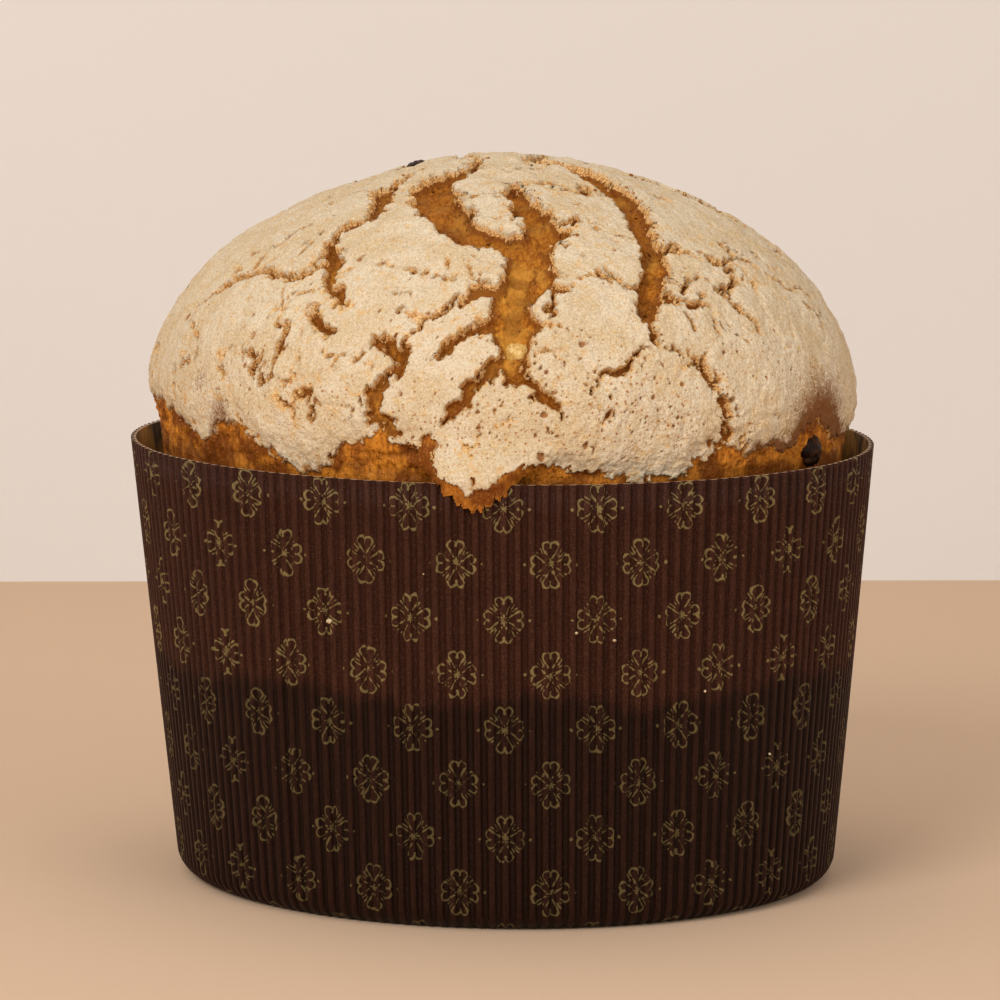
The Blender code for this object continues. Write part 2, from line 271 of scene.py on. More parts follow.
def mesh_numbers(tree, *names):
    """The numbers that a mesh holds for each point, by name."""
    return [add(tree, "ShaderNodeAttribute", attribute_name=name, output=2) for name in names]


def finish(shader, colour, roughness, place, fine, coarse, depth):
    """Gives a shader its colour, its roughness and the relief of the surface grain, in millimetres."""
    tree = shader.id_data
    tree.links.new(colour, shader.inputs["Base Color"])
    if isinstance(roughness, bpy.types.NodeSocket):
        tree.links.new(roughness, shader.inputs["Roughness"])
    else:
        shader.inputs["Roughness"].default_value = roughness
    relief = use(grain, {"Place": place, "Fine": fine * MM, "Coarse": coarse * MM, "Depth": depth * MM})
    bump = add(tree, "ShaderNodeBump", {"Height": relief, "Strength": 1.0, "Distance": 1.0})
    tree.links.new(bump, shader.inputs["Normal"])


def new_group(name, inputs, outputs):
    """A shader node group with float or vector sockets by name, and its inner input and output nodes."""
    group = bpy.data.node_groups.new(name, "ShaderNodeTree")
    for way, sockets in (("INPUT", inputs), ("OUTPUT", outputs)):
        for label, kind in sockets.items():
            group.interface.new_socket(label, in_out=way, socket_type="NodeSocket" + kind)
    return group, group.nodes.new("NodeGroupInput").outputs, group.nodes.new("NodeGroupOutput").inputs


def use(group, inputs):
    """Places a node group with its own values, and gives back its one output."""
    return add(tree_of(inputs.values()), "ShaderNodeGroup", inputs, node_tree=group)


def flower_print():
    """A four-petalled flower in each cell of the sheet, every other column half a row down. By folding a
    cell along its axes and diagonals one petal draws all four: two lobes, two sides that meet at the
    middle, a dot, and strokes between petals. Each line is a distance in millimetres to an arc, a point or
    a stretch."""
    group, given, out = new_group("flower_print", {"Sheet": "Vector", "Wear": "Float"}, {"Ink": "Float"})
    u, v = (add(group, "ShaderNodeSeparateXYZ", {0: given["Sheet"]}, i) for i in (0, 1))
    column = calc("ROUND", u)
    odd = calc("PINGPONG", column, 1.0)
    x = times(calc("SUBTRACT", u, column), FLOWER_COLUMN_FLAT / MM)
    row = calc("FRACT", calc("ADD", v, times_add(odd, 0.5, 0.642)))
    y = times(calc("SUBTRACT", row, 0.5), FLOWER_ROW / MM)
    across, up = calc("ABSOLUTE", x), calc("ABSOLUTE", y)
    along = calc("MAXIMUM", across, up)
    aside = calc("MINIMUM", across, up)

    def length(a, b):
        return calc("SQRT", times_add(a, a, times(b, b)))

    def to_point(a, b, px, py):
        return length(calc("SUBTRACT", a, px), calc("SUBTRACT", b, py))

    def to_stretch(a, b, start, end):
        """Distance to the straight stretch between two points."""
        run = (end[0] - start[0], end[1] - start[1])
        span = run[0] ** 2 + run[1] ** 2
        da, db = calc("SUBTRACT", a, start[0]), calc("SUBTRACT", b, start[1])
        dot = times_add(da, run[0] / span, times(db, run[1] / span))
        t = calc("MAXIMUM", calc("MINIMUM", dot, 1.0), 0.0)
        return length(times_add(t, -run[0], da), times_add(t, -run[1], db))

    lobe = calc("ABSOLUTE", calc("SUBTRACT", to_point(along, aside, 4.45, 1.15), 1.15))
    inner = times(calc("LESS_THAN", along, 4.2), 3.0)
    lobe = calc("SUBTRACT", calc("ADD", lobe, inner), 0.09)
    side = to_stretch(along, aside, (1.7, 0.62), (4.25, 2.28))
    dot = calc("SUBTRACT", to_point(along, aside, 4.25, 0.0), 0.14)
    p = times(calc("ADD", along, aside), math.sqrt(0.5))
    q = times(calc("SUBTRACT", along, aside), math.sqrt(0.5))
    stroke = calc("ADD", to_stretch(p, q, (3.2, 0.28), (4.9, 0.62)), 0.05)
    star = to_stretch(p, q, (0.0, 0.0), (0.9, 0.0))
    ray = calc("ADD", to_stretch(along, aside, (0.0, 0.0), (1.3, 0.0)), 0.04)
    side_dot = calc("SUBTRACT", to_point(across, up, 6.05, FLOWER_ROW / MM / 2), 0.20)
    nearest = lobe
    for other in (side, dot, stroke, star, ray, side_dot):
        nearest = calc("MINIMUM", nearest, other)
    nearest = calc("ADD", nearest, given["Wear"])
    group.links.new(steps(nearest, 0.30, 0.12), out["Ink"])
    return group


def case_paper():
    """Paper dyed red-brown, paler where the crests are rubbed, with the print in olive gold, and darker up to
    about half its height, reaching higher up some flutes. Inside it is oily and olive brown."""
    look, tree, shader = new_look("case_paper", 0.10)
    place = add(tree, "ShaderNodeTexCoord", output=3)
    height = add(tree, "ShaderNodeSeparateXYZ", {0: place}, 2)
    crest, outside, cut_edge = mesh_numbers(tree, "crest", "outside", "cut_edge")
    fibres = noise(stretched(place, 1, 1, 0.12), 0.7 * MM, 2, 0.6)
    mottle = noise(place, 8 * MM, 2)
    rubbed = times(steps(crest, 0.35, 1.0), steps(fibres, 0.3, 0.7, (0.25, 1.0)))
    colour = blend(rubbed, PAPER_RED_BROWN, PAPER_CREST)
    # The paper is darker below a wavy line at about half its height, reaching higher up some flutes.
    band_streaks = noise(stretched(place, 1, 1, 0.02), 5 * MM, 2)
    band_top = times_add(band_streaks, 9 * MM, times(noise(place, 40 * MM, 2), 10 * MM))
    darker_below = steps(calc("SUBTRACT", height, band_top), 50.0 * MM, 44.5 * MM)
    darker_below_colour = blend(times(rubbed, 0.55), PAPER_DARK, PAPER_RED_BROWN)
    colour = blend(times(darker_below, 0.92), colour, darker_below_colour)
    specks = noise(place, 0.36 * MM, 0)
    colour = layered(
        colour,
        (mottle, 0.35, 0.75, 0.22, PAPER_DARK),
        (specks, 0.50, 0.20, 0.55, PAPER_DARK),
    )
    dust = times(steps(specks, 0.55, 0.80), steps(darker_below, 0.0, 1.0, (0.42, 0.14)))
    colour = blend(dust, colour, PAPER_DUST)
    sheet = add(tree, "ShaderNodeUVMap", uv_map="sheet")
    wear = times_add(noise(place, 1.3 * MM, 1), 1.05, -0.44)
    ink = use(flower_print(), {"Sheet": sheet, "Wear": wear})
    ink = times(ink, times(outside, 0.88))
    ink_colour = blend(times(darker_below, 0.45), INK_OLIVE, PAPER_DARK)
    colour = blend(ink, colour, ink_colour)
    liner = blend(steps(mottle, 0.35, 0.65), LINER_OLIVE, (0.050, 0.028, 0.005))
    colour = blend(outside, liner, colour)
    colour = blend(times(cut_edge, 0.8), colour, PAPER_CUT_EDGE)
    sheen = times_add(darker_below, -0.12, times_add(fibres, 0.2, 0.50))
    finish(shader, colour, sheen, place, 0.35, 1.6, 0.07)
    return look


def surface_grain():
    """Relief for paper fibre, sugar grain and crumb: random lumps at a fine and a coarse size, added and
    scaled to a depth."""
    sizes = {"Fine": "Float", "Coarse": "Float", "Depth": "Float"}
    group, given, out = new_group("surface_grain", {"Place": "Vector", **sizes}, {"Height": "Float"})

    def relief(size):
        scale = calc("DIVIDE", 1.0, size)
        inputs = {"Vector": given["Place"], "Scale": scale, "Detail": 1.0, "Roughness": 0.6}
        return add(group, "ShaderNodeTexNoise", inputs)

    height = times_add(relief(given["Coarse"]), 1.6, relief(given["Fine"]))
    group.links.new(times(height, given["Depth"]), out["Height"])
    return group


grain = surface_grain()
make_case(case_paper())


# ------------------------------------------------------------------ loaf
# A tall sweet loaf that rose out of its case and baked a golden-brown crust. Its dome was brushed with a
# thick sugar and almond glaze, which set and tore into plates as the crumb went on rising under it.

loaf_low, loaf_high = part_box("loaf")
LOAF_CENTRE_X = -2.0 * MM
GLAZE_BED = 2.0 * MM  # how far the crust lies under the outside of the glaze
GIRTH_HEIGHT = 122.8 * MM
GIRTH_RADIUS = LOAF_CENTRE_X - loaf_low.x - GLAZE_BED
DOME_HEIGHT = loaf_high.z + 0.35 * MM - GIRTH_HEIGHT - GLAZE_BED
HEART = np.array([LOAF_CENTRE_X, 0, GIRTH_HEIGHT - 20 * MM])  # the middle that dents press towards
DOME_FULLNESS = 1.2
WAIST_RADIUS = 87.6 * MM - GLAZE_BED
WAIST_HEIGHT = 106 * MM
DROP_PER_DEGREE = 0.5 * MM  # below the girth a degree of the polar angle is this much height
DOME_DENTS = [(-93, 26, 1.6 * MM, 11 * MM), (88, 58, 0.6 * MM, 16 * MM), (160, 42, 1.2 * MM, 20 * MM)]
TONGUE_AZIMUTH = -4.2
TONGUE_SWELL = 9.5 * MM
SHEET_STEP = 0.43 * MM  # between the points of the dome's sheet
SHEET_BACK = 24 * MM  # where its rows grow wider apart, behind the crown
SHEET_REACH = 139 * MM  # from the crown along the dome to below the tongue's tip


def lumps(points, size, seed):
    """Smooth random numbers from -1 to 1. A lattice of that size holds one number at each corner, and a point
    blends the eight round it, with the weight 6t^5 - 15t^4 + 10t^3 along each axis."""
    dice = np.random.default_rng(seed)
    order, value = dice.permutation(256), dice.uniform(-1, 1, 256)
    cell = points / size
    low = np.floor(cell).astype(np.int32)
    t = cell - low
    t = np.moveaxis(t * t * t * (t * (t * 6 - 15) + 10), -1, 0)
    ends = [np.moveaxis(low & 255, -1, 0), np.moveaxis((low + 1) & 255, -1, 0)]
    weights = [1 - t, t]
    total = np.zeros(points.shape[:-1])
    for i, j in np.ndindex(2, 2):
        edge_key = order[(order[ends[i][0]] + ends[j][1]) & 255]
        edge_weight = weights[i][0] * weights[j][1]
        for k in (0, 1):
            total += value[order[(edge_key + ends[k][2]) & 255]] * (edge_weight * weights[k][2])
    return total


def ease(value, low, high):
    """A smooth step of an array from 0 at low to 1 at high."""
    t = np.clip((value - low) / (high - low), 0, 1)
    return t * t * (3 - 2 * t)


def crust(azimuth, polar, spread_tongue=0.0):
    """The crust under the glaze, from azimuth and polar degrees. Over the girth its radius goes as the sine
    of the polar angle and its height as the cosine; under it the side drops to the waist. Soft dents press
    it in. By the tongue it swells out over the case's rim."""
    a, p = np.radians(azimuth), np.radians(np.clip(polar, 0, 90))
    below = np.clip(polar - 90, 0, None) * DROP_PER_DEGREE
    height = GIRTH_HEIGHT + DOME_HEIGHT * np.cos(p) - below
    radius = GIRTH_RADIUS * np.sin(p) ** DOME_FULLNESS
    waist = ease(below, 0, GIRTH_HEIGHT - WAIST_HEIGHT)
    radius = radius + (WAIST_RADIUS - GIRTH_RADIUS) * waist
    off = np.radians(azimuth - TONGUE_AZIMUTH)
    width = 0.135 + 0.07 * ease(height, 108 * MM, 121 * MM)
    beside = ease(height, 123 * MM, 109.5 * MM) * np.exp(-np.abs(off / width) ** 4)
    points = round_the_axis(LOAF_CENTRE_X, radius + spread_tongue * TONGUE_SWELL * beside, a, height)
    inward = HEART - points
    inward /= np.linalg.norm(inward, axis=-1, keepdims=True)
    press = 0.0
    for dent_azimuth, dent_polar, depth, spread in DOME_DENTS:
        da, dp = np.radians([dent_azimuth, dent_polar])
        reach = GIRTH_RADIUS * np.sin(dp) ** DOME_FULLNESS
        middle = round_the_axis(LOAF_CENTRE_X, reach, da, GIRTH_HEIGHT + DOME_HEIGHT * np.cos(dp))
        press = press + depth * np.exp(-((np.linalg.norm(points - middle, axis=-1) / spread) ** 2) / 2)
    return points + inward * np.asarray(press)[..., None]


def down_the_dome():
    """Polar angles from the crown down, and how far each is from the crown along the surface."""
    polar = np.linspace(0, 134, 1341)
    points = crust(np.full_like(polar, 90.0), polar)
    travel = np.append(0, np.cumsum(np.linalg.norm(np.diff(points, axis=0), axis=1)))
    return polar, travel


POLAR_TABLE, TRAVEL_TABLE = down_the_dome()

# The sheet is a flat grid laid over the dome: a point's direction from the middle is its azimuth, and its
# distance is how far it lies from the crown along the surface. Its rows are wider apart at the back.
across = np.arange(-SHEET_REACH, SHEET_REACH, SHEET_STEP)
along = np.arange(-SHEET_REACH, SHEET_BACK, SHEET_STEP)
along = np.append(along, np.arange(SHEET_BACK, SHEET_REACH, 1.6 * SHEET_STEP))
sheet_x, sheet_y = np.meshgrid(across, along)
sheet_travel = np.hypot(sheet_x, sheet_y)
sheet_azimuth = np.degrees(np.arctan2(sheet_x, -sheet_y))
sheet_polar = np.interp(sheet_travel, TRAVEL_TABLE, POLAR_TABLE)


def outward(points):
    """The unit normals of a grid of points, from the cross product of its differences."""
    turned = np.cross(np.gradient(points, axis=1), np.gradient(points, axis=0))
    turned = -turned if turned[len(points) // 2, turned.shape[1] // 2, 2] < 0 else turned
    return turned / np.maximum(np.linalg.norm(turned, axis=-1, keepdims=True), 1e-12)


def on_sheet(azimuth, polar):
    """Where a place on the dome lies on the flat sheet."""
    travel = np.interp(polar, POLAR_TABLE, TRAVEL_TABLE)
    return np.stack([travel * np.sin(np.radians(azimuth)), -travel * np.cos(np.radians(azimuth))], axis=-1)


def window(low, high):
    """The rows and columns of the sheet between two of its corners."""
    return tuple(slice(*np.searchsorted(lines, (low[k], high[k]))) for k, lines in ((1, along), (0, across)))


bed = crust(sheet_azimuth, sheet_polar)
bed_normal = outward(bed)


def bed_lumps(size, seed):
    """Lumps over the sheet, from their size in millimetres."""
    return lumps(bed, size * MM, seed)


swell = 0.5 * MM * bed_lumps(30, 1) + 0.3 * MM * bed_lumps(12, 2)
swell *= ease(sheet_polar, 118, 96)

# Each tear in the glaze runs through listed points: azimuth (0 in front, growing to the right), polar
# angle (0 at the crown, 90 at the girth) and the tear's width there in millimetres.
FRONT_TEARS = [
    # the wide crown split, and the open crumb it leads to
    [(-40, 8, 2.5), (-27, 16, 3.5), (-29, 21, 6), (-33, 26, 9), (-27, 31, 10), (-18, 36, 12),
     (-13, 40, 9), (-8, 43, 7), (-2, 45, 5.5), (4, 48, 6)],
    [(4.5, 46, 10), (5, 50, 11), (4.2, 55, 12), (1.6, 59, 9), (1.2, 62, 9), (1.6, 65, 11),
     (1.5, 70, 7.2), (1.3, 75, 6), (1.5, 78, 4.4)],
    [(9.3, 54, 1.6), (9.6, 58, 1.5), (9, 62, 1.8), (6.5, 64.5, 2.5)],
    [(3, 79, 2.4), (5, 82, 2.2), (7, 84, 1.9), (9, 87, 1.2), (10, 89, 0.7)],
    # between the crown split and the right one
    [(4, 27, 4), (5, 30, 5.5), (6, 33, 6), (8, 36, 7), (9, 40, 8), (10, 43, 8), (7, 46, 7)],
    [(10, 42.5, 6), (14, 43, 4), (18, 42, 1.2)],
    [(4, 27, 2.6), (8, 25, 2), (18, 25, 1.8), (28, 27, 1.6), (33, 29, 2), (37, 27, 2)],
    [(-21, 30, 2), (-18, 29, 1.8), (-12, 31, 1.6), (-6, 29.5, 1.8), (0, 29, 1.7), (4, 28, 2.2)],
    [(10, 40, 2), (15, 40.5, 1.8), (20, 38.5, 1.5), (22, 38, 0.8), (25, 42.5, 0.8), (30, 44, 1.2),
     (36, 44, 1.5)],
    # the right split
    [(30, 9, 2), (45, 15, 3.5), (54, 19, 6), (50, 24, 8), (47, 29, 8), (44, 35, 7), (38, 41, 5.5),
     (35, 46, 5), (34, 50, 7), (32, 54, 7), (28, 59, 6), (26, 63, 3.6), (26, 68, 3.6), (26, 72, 2)],
    [(35, 48, 2.4), (40, 49, 2.2), (46, 51, 2), (52, 53, 1.8), (58, 52.5, 1.8), (61, 55, 1.8),
     (65, 59, 1.3), (71, 63, 0.9), (79, 66, 0.7)],
    [(54, 52, 1.7), (51, 56, 1.8), (48, 59, 2), (44, 61, 1.9), (46, 64, 1.4), (48, 68, 1.2),
     (48.5, 73, 0.8)],
    [(28, 60.5, 2.6), (31, 61.5, 2.3), (37, 62, 1.8), (40, 62.5, 0.8)],
    [(35, 59, 1.2), (38, 57, 1.3), (43, 56, 0.9)],
    [(34, 65, 1.2), (34.6, 68.5, 0.9)],
    [(39.5, 67, 1), (40.2, 70.5, 0.9)],
    [(26, 72, 1.8), (29, 73, 1), (31, 74, 1.6), (34, 77, 2.2), (35.5, 81, 2.2), (37, 85, 2.6),
     (38, 89, 2.2), (38, 95, 1.7), (37, 101, 1.9), (37, 104, 1)],
    [(9, 57.5, 1.8), (13, 57, 1.8), (17, 55, 1.9), (20, 54, 2.1), (24, 57, 1.8), (26.5, 58.5, 2.2)],
    [(15, 46, 1.4), (17, 49, 1.2), (17.5, 51, 0.7)],
    [(4, 77, 0.7), (6.5, 72, 0.6), (8.5, 73, 0.6), (9.5, 74.5, 0.5)],
    [(12, 82, 1), (15, 80, 1.3), (16.5, 78, 1.4), (19, 77.5, 1.5), (22, 74.5, 1.3), (25, 72.5, 1)],
    [(16.5, 79, 0.8), (17, 83, 0.6)],
    # the left split and its branches
    [(-62, 12, 1.5), (-56, 22, 2), (-50, 30, 4.4), (-43, 35, 4), (-39, 40, 3), (-44, 44, 3),
     (-42, 49, 2.4), (-41, 53, 2.2), (-44, 57, 2.2), (-50, 58, 1.9), (-57, 57.5, 2.2), (-63, 61, 2.6),
     (-67, 65, 2)],
    [(-50, 30, 2.6), (-58, 31, 2), (-68, 33, 1.3), (-78, 37, 1)],
    [(-39, 50, 2.8), (-37, 55, 3.4), (-36, 58, 2.6), (-32, 60.5, 2.2), (-31, 63, 2)],
    [(-36, 63.5, 1.8), (-34, 67, 2.2), (-31, 69.5, 2.2), (-32, 71, 1.2)],
    [(-38, 60, 1.1), (-42, 62, 1.2), (-43, 66, 1.3), (-40, 70, 1.2), (-40, 74, 1.2), (-40, 79, 1.1),
     (-42, 82, 0.8)],
    [(-32, 70.5, 0.8), (-31, 73, 0.8), (-30, 75, 0.8), (-27, 75, 0.8), (-24, 75.5, 0.9),
     (-23.5, 73.5, 0.8), (-22, 71.5, 1.5)],
    [(-22, 71, 2), (-19, 72.5, 3.4), (-17, 75, 3), (-18, 78, 2.8), (-20.5, 82.5, 3), (-21, 86, 3.4),
     (-19, 90, 3.4), (-17, 95, 3)],
    [(-17.5, 72, 1.1), (-16, 70, 1.1), (-14, 66, 1.3), (-10, 62, 1.4), (-7, 59, 1.2), (-5, 56, 0.9),
     (-4, 53, 0.6)],
    [(-2, 67, 2.2), (-5, 68, 2.6), (-9, 71, 2.8), (-11, 74, 2.6), (-12, 75, 1)],
    [(0.5, 75, 2.2), (-2, 77, 2.3), (-4, 80, 2.4), (-6, 84, 2), (-8, 86, 2), (-9, 89, 1.3),
     (-10.5, 93, 1.5), (-11.5, 98, 2.5), (-12, 104, 4)],
    [(-58, 44, 1.1), (-60, 48, 1.2), (-61, 52, 1.2), (-60, 56, 1.2)],
    [(-51, 45, 1.6), (-50, 48.5, 1.5), (-49, 51, 1)],
    [(-63, 61, 1.6), (-70, 70, 1.4), (-65, 73, 1.2), (-60, 78, 1.4), (-67, 82.5, 1.4), (-67, 88, 1.2),
     (-68, 93, 1)],
    [(-27, 52, 0.7), (-22, 53, 0.9), (-18, 55, 1), (-14, 55.4, 0.9), (-11, 55, 0.6)],
    [(-8, 48.5, 0.8), (-7, 52, 0.7), (-6.5, 55, 0.6)],
]
BACK_TEARS = [
    [(-40, 8, 2.5), (-110, 10, 3), (-150, 20, 5), (-158, 30, 6), (-142, 38, 7), (-129, 49, 6),
     (-131, 62, 4.5), (-125, 74, 3.5), (-127, 84, 2), (-124, 96, 1.6), (-125, 103, 1.5)],
    [(30, 9, 2), (100, 9, 3), (146, 20, 5), (161, 33, 8), (158, 46, 9), (166, 58, 7), (161, 70, 4),
     (164, 80, 2.6), (160, 91, 2), (162, 102, 2)],
    [(-62, 12, 1.5), (-90, 9, 1.5), (-112, 11, 2)],
    [(158, 44, 4), (143, 46, 3), (131, 43, 2.2), (120, 47, 1.6), (112, 45, 1)],
    [(167, 57, 3), (-179, 61, 2.4), (-168, 60, 2), (-158, 65, 1.6), (-146, 63, 1.4), (-132, 63, 1.8)],
    [(-142, 38, 3), (-160, 44, 2), (-172, 41, 1.6), (171, 45, 1.4), (160, 44, 2)],
    [(-129, 49, 3), (-114, 52, 2.4), (-104, 50, 1.8), (-96, 55, 1.4), (-88, 54, 1)],
    [(100, 9, 2), (88, 20, 2), (93, 30, 3), (86, 40, 2.4), (90, 49, 1.8), (84, 58, 1.4), (88, 66, 1)],
    [(86, 40, 1.8), (100, 42, 1.6), (110, 38, 1)],
    [(161, 70, 2), (147, 73, 2), (136, 70, 1.6), (124, 75, 1.4), (113, 72, 1)],
    [(124, 75, 1.4), (121, 83, 1.6), (125, 92, 1.4), (122, 102, 1.6)],
    [(-125, 74, 2.4), (-112, 77, 2), (-103, 74, 1.4), (-95, 79, 1.2), (-97, 88, 1.4), (-93, 97, 1.6)],
    [(-158, 65, 1.4), (-162, 75, 1.8), (-157, 84, 1.4), (-160, 94, 1.6), (-158, 103, 1.5)],
    [(-179, 61, 1.4), (177, 72, 1.2), (-178, 82, 1), (179, 90, 0.8)],
    [(88, 66, 1), (95, 74, 1.4), (92, 83, 1.2), (97, 92, 1.4), (94, 101, 1.5)],
    [(-96, 55, 1.2), (-92, 64, 1.4), (-84, 69, 1.2), (-86, 78, 0.9)],
    [(-104, 24, 1.5), (-112, 33, 2), (-106, 42, 1.6), (-114, 52, 1.6)],
    [(-92, 64, 1.4), (-97, 71, 1.3), (-95, 79, 1.3)],
    # round the raisin near the crown
    [(-130, 19, 0.5), (-123, 20, 7), (-112, 20, 8.5), (-102, 20, 7), (-95, 20, 0.5)],
]


def smooth_route(route, share=0.25):
    """More points along a Catmull-Rom curve through a route's azimuth, polar angle and width."""
    knots = np.array([route[0], *route, route[-1]], float)
    knots[:, 0] = np.degrees(np.unwrap(np.radians(knots[:, 0])))
    a, b, c, d = (knots[i : len(knots) - 3 + i, None] for i in range(4))
    t = np.arange(0, 1, share)[None, :, None]
    bend = 2 * b + (c - a) * t + (2 * a - 5 * b + 4 * c - d) * t**2 + (3 * b - a - 3 * c + d) * t**3
    return np.concatenate([bend.reshape(-1, knots.shape[1]) / 2, knots[-1:]])


TEAR_WARPS = [(11 * MM, 0.5 * MM, 11), (3.8 * MM, 0.75 * MM, 21), (1.8 * MM, 0.35 * MM, 31)]


def warped(layers):
    """The sheet's points moved by noise: each layer's lump size, reach and seed."""
    moved = [sum(reach * lumps(bed, size, seed + k) for size, reach, seed in layers) for k in range(3)]
    return bed + np.stack(moved, axis=-1)


def crumb_jolts(size, reach, seed):
    """A step to one side for each point, the same for all points of one crumb, so that tears break along
    the crumbs. A crumb is what lies nearest to one of many points, one in each square of a lattice."""
    dice = np.random.default_rng(seed)
    spots, jolts = dice.uniform(0.05, 0.95, (4096, 2)), dice.uniform(-reach, reach, (4096, 3))
    flat = np.stack([sheet_x, sheet_y], axis=-1) / size
    square = np.floor(flat).astype(np.int64)
    nearest, owner = np.full(flat.shape[:2], 9.0), np.zeros(flat.shape[:2], np.int64)
    for step in np.ndindex(3, 3):
        beside = square + np.array(step) - 1
        key = (beside[..., 0] * 73856093 + beside[..., 1] * 19349663) & 4095
        away = ((flat - beside - spots[key]) ** 2).sum(axis=-1)
        owner = np.where(away < nearest, key, owner)
        nearest = np.minimum(nearest, away)
    return jolts[owner]


jolt = crumb_jolts(3.0 * MM, 0.90 * MM, 43) + crumb_jolts(1.4 * MM, 0.50 * MM, 44)


def tear_depths():
    """How deep each point of the sheet lies inside a tear: the tear's half-width less the distance to its
    middle line, so it is negative on the plates and its size there is the distance to the nearest edge. The
    sheet is warped and jolted first, and narrow tears are pinched by noise along their length. Gives the
    nearest tear's half-width as well."""
    place = warped(TEAR_WARPS) + jolt
    pinch = 0.92 + 0.55 * bed_lumps(5, 36)
    inside, widths = np.full(bed.shape[:2], -12 * MM), np.zeros(bed.shape[:2])
    reach = 15 * MM
    for route in FRONT_TEARS + BACK_TEARS:
        knots = smooth_route(route)
        middle, flat = crust(knots[:, 0], knots[:, 1]), on_sheet(knots[:, 0], knots[:, 1])
        for i in range(len(knots) - 1):
            ends = flat[i : i + 2]
            part = window(ends.min(axis=0) - reach, ends.max(axis=0) + reach)
            near = place[part]
            run = middle[i + 1] - middle[i]
            t = np.clip(((near - middle[i]) @ run) / max(run @ run, 1e-12), 0, 1)
            away = np.linalg.norm(near - (middle[i] + t[..., None] * run), axis=-1)
            half = (0.2 + knots[i, 2] + (knots[i + 1, 2] - knots[i, 2]) * t) * MM / 2
            narrow = ease(half, 1.8 * MM, 0.6 * MM)
            depth = half * (1 - narrow * (1 - pinch[part])) - away
            widths[part] = np.where(depth > inside[part], half, widths[part])
            inside[part] = np.maximum(inside[part], depth)
    return inside, widths


in_tear, tear_width = tear_depths()

# The glaze ends low on the dome, and bare crust shows below it: azimuth and polar angle of its lower edge.
GLAZE_FOOT = [
    (-180, 100), (-165, 104), (-150, 98), (-138, 103), (-124, 97), (-112, 102), (-100, 96), (-90, 95),
    (-80, 93.5), (-74, 93), (-71, 96.5), (-67, 96), (-64, 101), (-60, 104), (-56, 105), (-53, 101),
    (-51.5, 95), (-49, 97), (-47, 94), (-45, 100), (-42, 103), (-40, 107), (-37.5, 109), (-36, 114),
    (-33, 117), (-30.5, 115), (-28, 109), (-27, 104), (-26, 100), (-22, 98), (-19.5, 92.5), (-17, 96.5),
    (-14.5, 99.5), (-13.6, 98),
    # the tongue
    (-13.2, 101), (-11.9, 106), (-9.6, 109.5), (-8.2, 112.5), (-7.1, 115.5), (-6, 118.5), (-5.1, 121.5),
    (-4.4, 122.8), (-3.8, 119.6), (-2.9, 119), (-1.9, 115.8), (-1, 115.2), (0.6, 111.4), (3.6, 108.6),
    (8, 108.4), (10, 109.5), (12.5, 112), (18, 115), (24, 115), (31, 113.5), (32.5, 108), (36, 101.5),
    (39, 104), (44.5, 106.5), (50, 107), (54, 106), (57, 101), (60.5, 97), (64, 98), (67, 103), (71, 106),
    (80, 108), (92, 101), (104, 106), (118, 99), (130, 104), (146, 97), (160, 103), (180, 100),
]


def above_foot():
    """How far each point lies above the glaze's lower edge, in metres of height, with a ragged line."""
    azimuths, polars = np.array(GLAZE_FOOT).T
    calm = 0.35 + 0.65 * ease(np.abs(sheet_azimuth + 4), 3, 9)  # the line is less ragged on the tongue
    wander = 0.8 * bed_lumps(5, 51) + (0.7 * bed_lumps(2, 52) + jolt[..., 0] / MM) * calm
    foot = np.interp(sheet_azimuth + wander, azimuths, polars)
    below_girth = np.clip(sheet_polar - 90, 0, None) + np.clip(sheet_polar - 90, None, 0) * 3
    drop = (foot - 90 - below_girth) * DROP_PER_DEGREE
    rough = 1.3 * MM * bed_lumps(4, 53) + 0.7 * MM * bed_lumps(1.7, 54) + 1.1 * jolt[..., 1]
    return drop + rough * calm


on_glaze = above_foot()


def weave_tears(seed, count, middle, spread, opened):
    """Fine tears between the others: the borders between the cells of points scattered round an azimuth, as
    wide as the opening given for each point, which is mostly below nothing."""
    dice = np.random.default_rng(seed)
    place = warped([(4 * MM, 1.1 * MM, 62), (12 * MM, 2.2 * MM, 66)]) + jolt
    nearest, second = np.full(bed.shape[:2], 1.0), np.full(bed.shape[:2], 1.0)
    azimuths = dice.uniform(middle - spread, middle + spread, count)
    for spot in crust(azimuths, 12 + 92 * dice.uniform(0, 1, count) ** 0.8):
        reach = np.linalg.norm(place - spot, axis=-1)
        second = np.minimum(second, np.maximum(nearest, reach))
        nearest = np.minimum(nearest, reach)
    side = ease(np.abs((sheet_azimuth - middle + 180) % 360 - 180), spread + 2, spread - 18)
    return (opened - (second - nearest) / 2) * side - 6 * MM * (1 - side)


opened = 0.9 * bed_lumps(16, 71) + 0.3 * bed_lumps(5, 72) - 0.25
behind = weave_tears(61, 110, 180, 100, np.minimum(opened, 0.40) * MM)
opened = 0.75 * MM * bed_lumps(9, 74) + 0.35 * MM * bed_lumps(3, 75) - 0.26 * MM
in_front = weave_tears(73, 150, 0, 105, opened)
woven = np.maximum(behind, in_front)
tear_width = np.where(woven > in_tear, 0.4 * MM, tear_width)
in_tear = np.maximum(in_tear, woven)
smooth_edge = np.minimum(-in_tear, on_glaze)  # distance in from the plates' edges
edge = smooth_edge + 0.18 * MM * bed_lumps(0.9, 42)

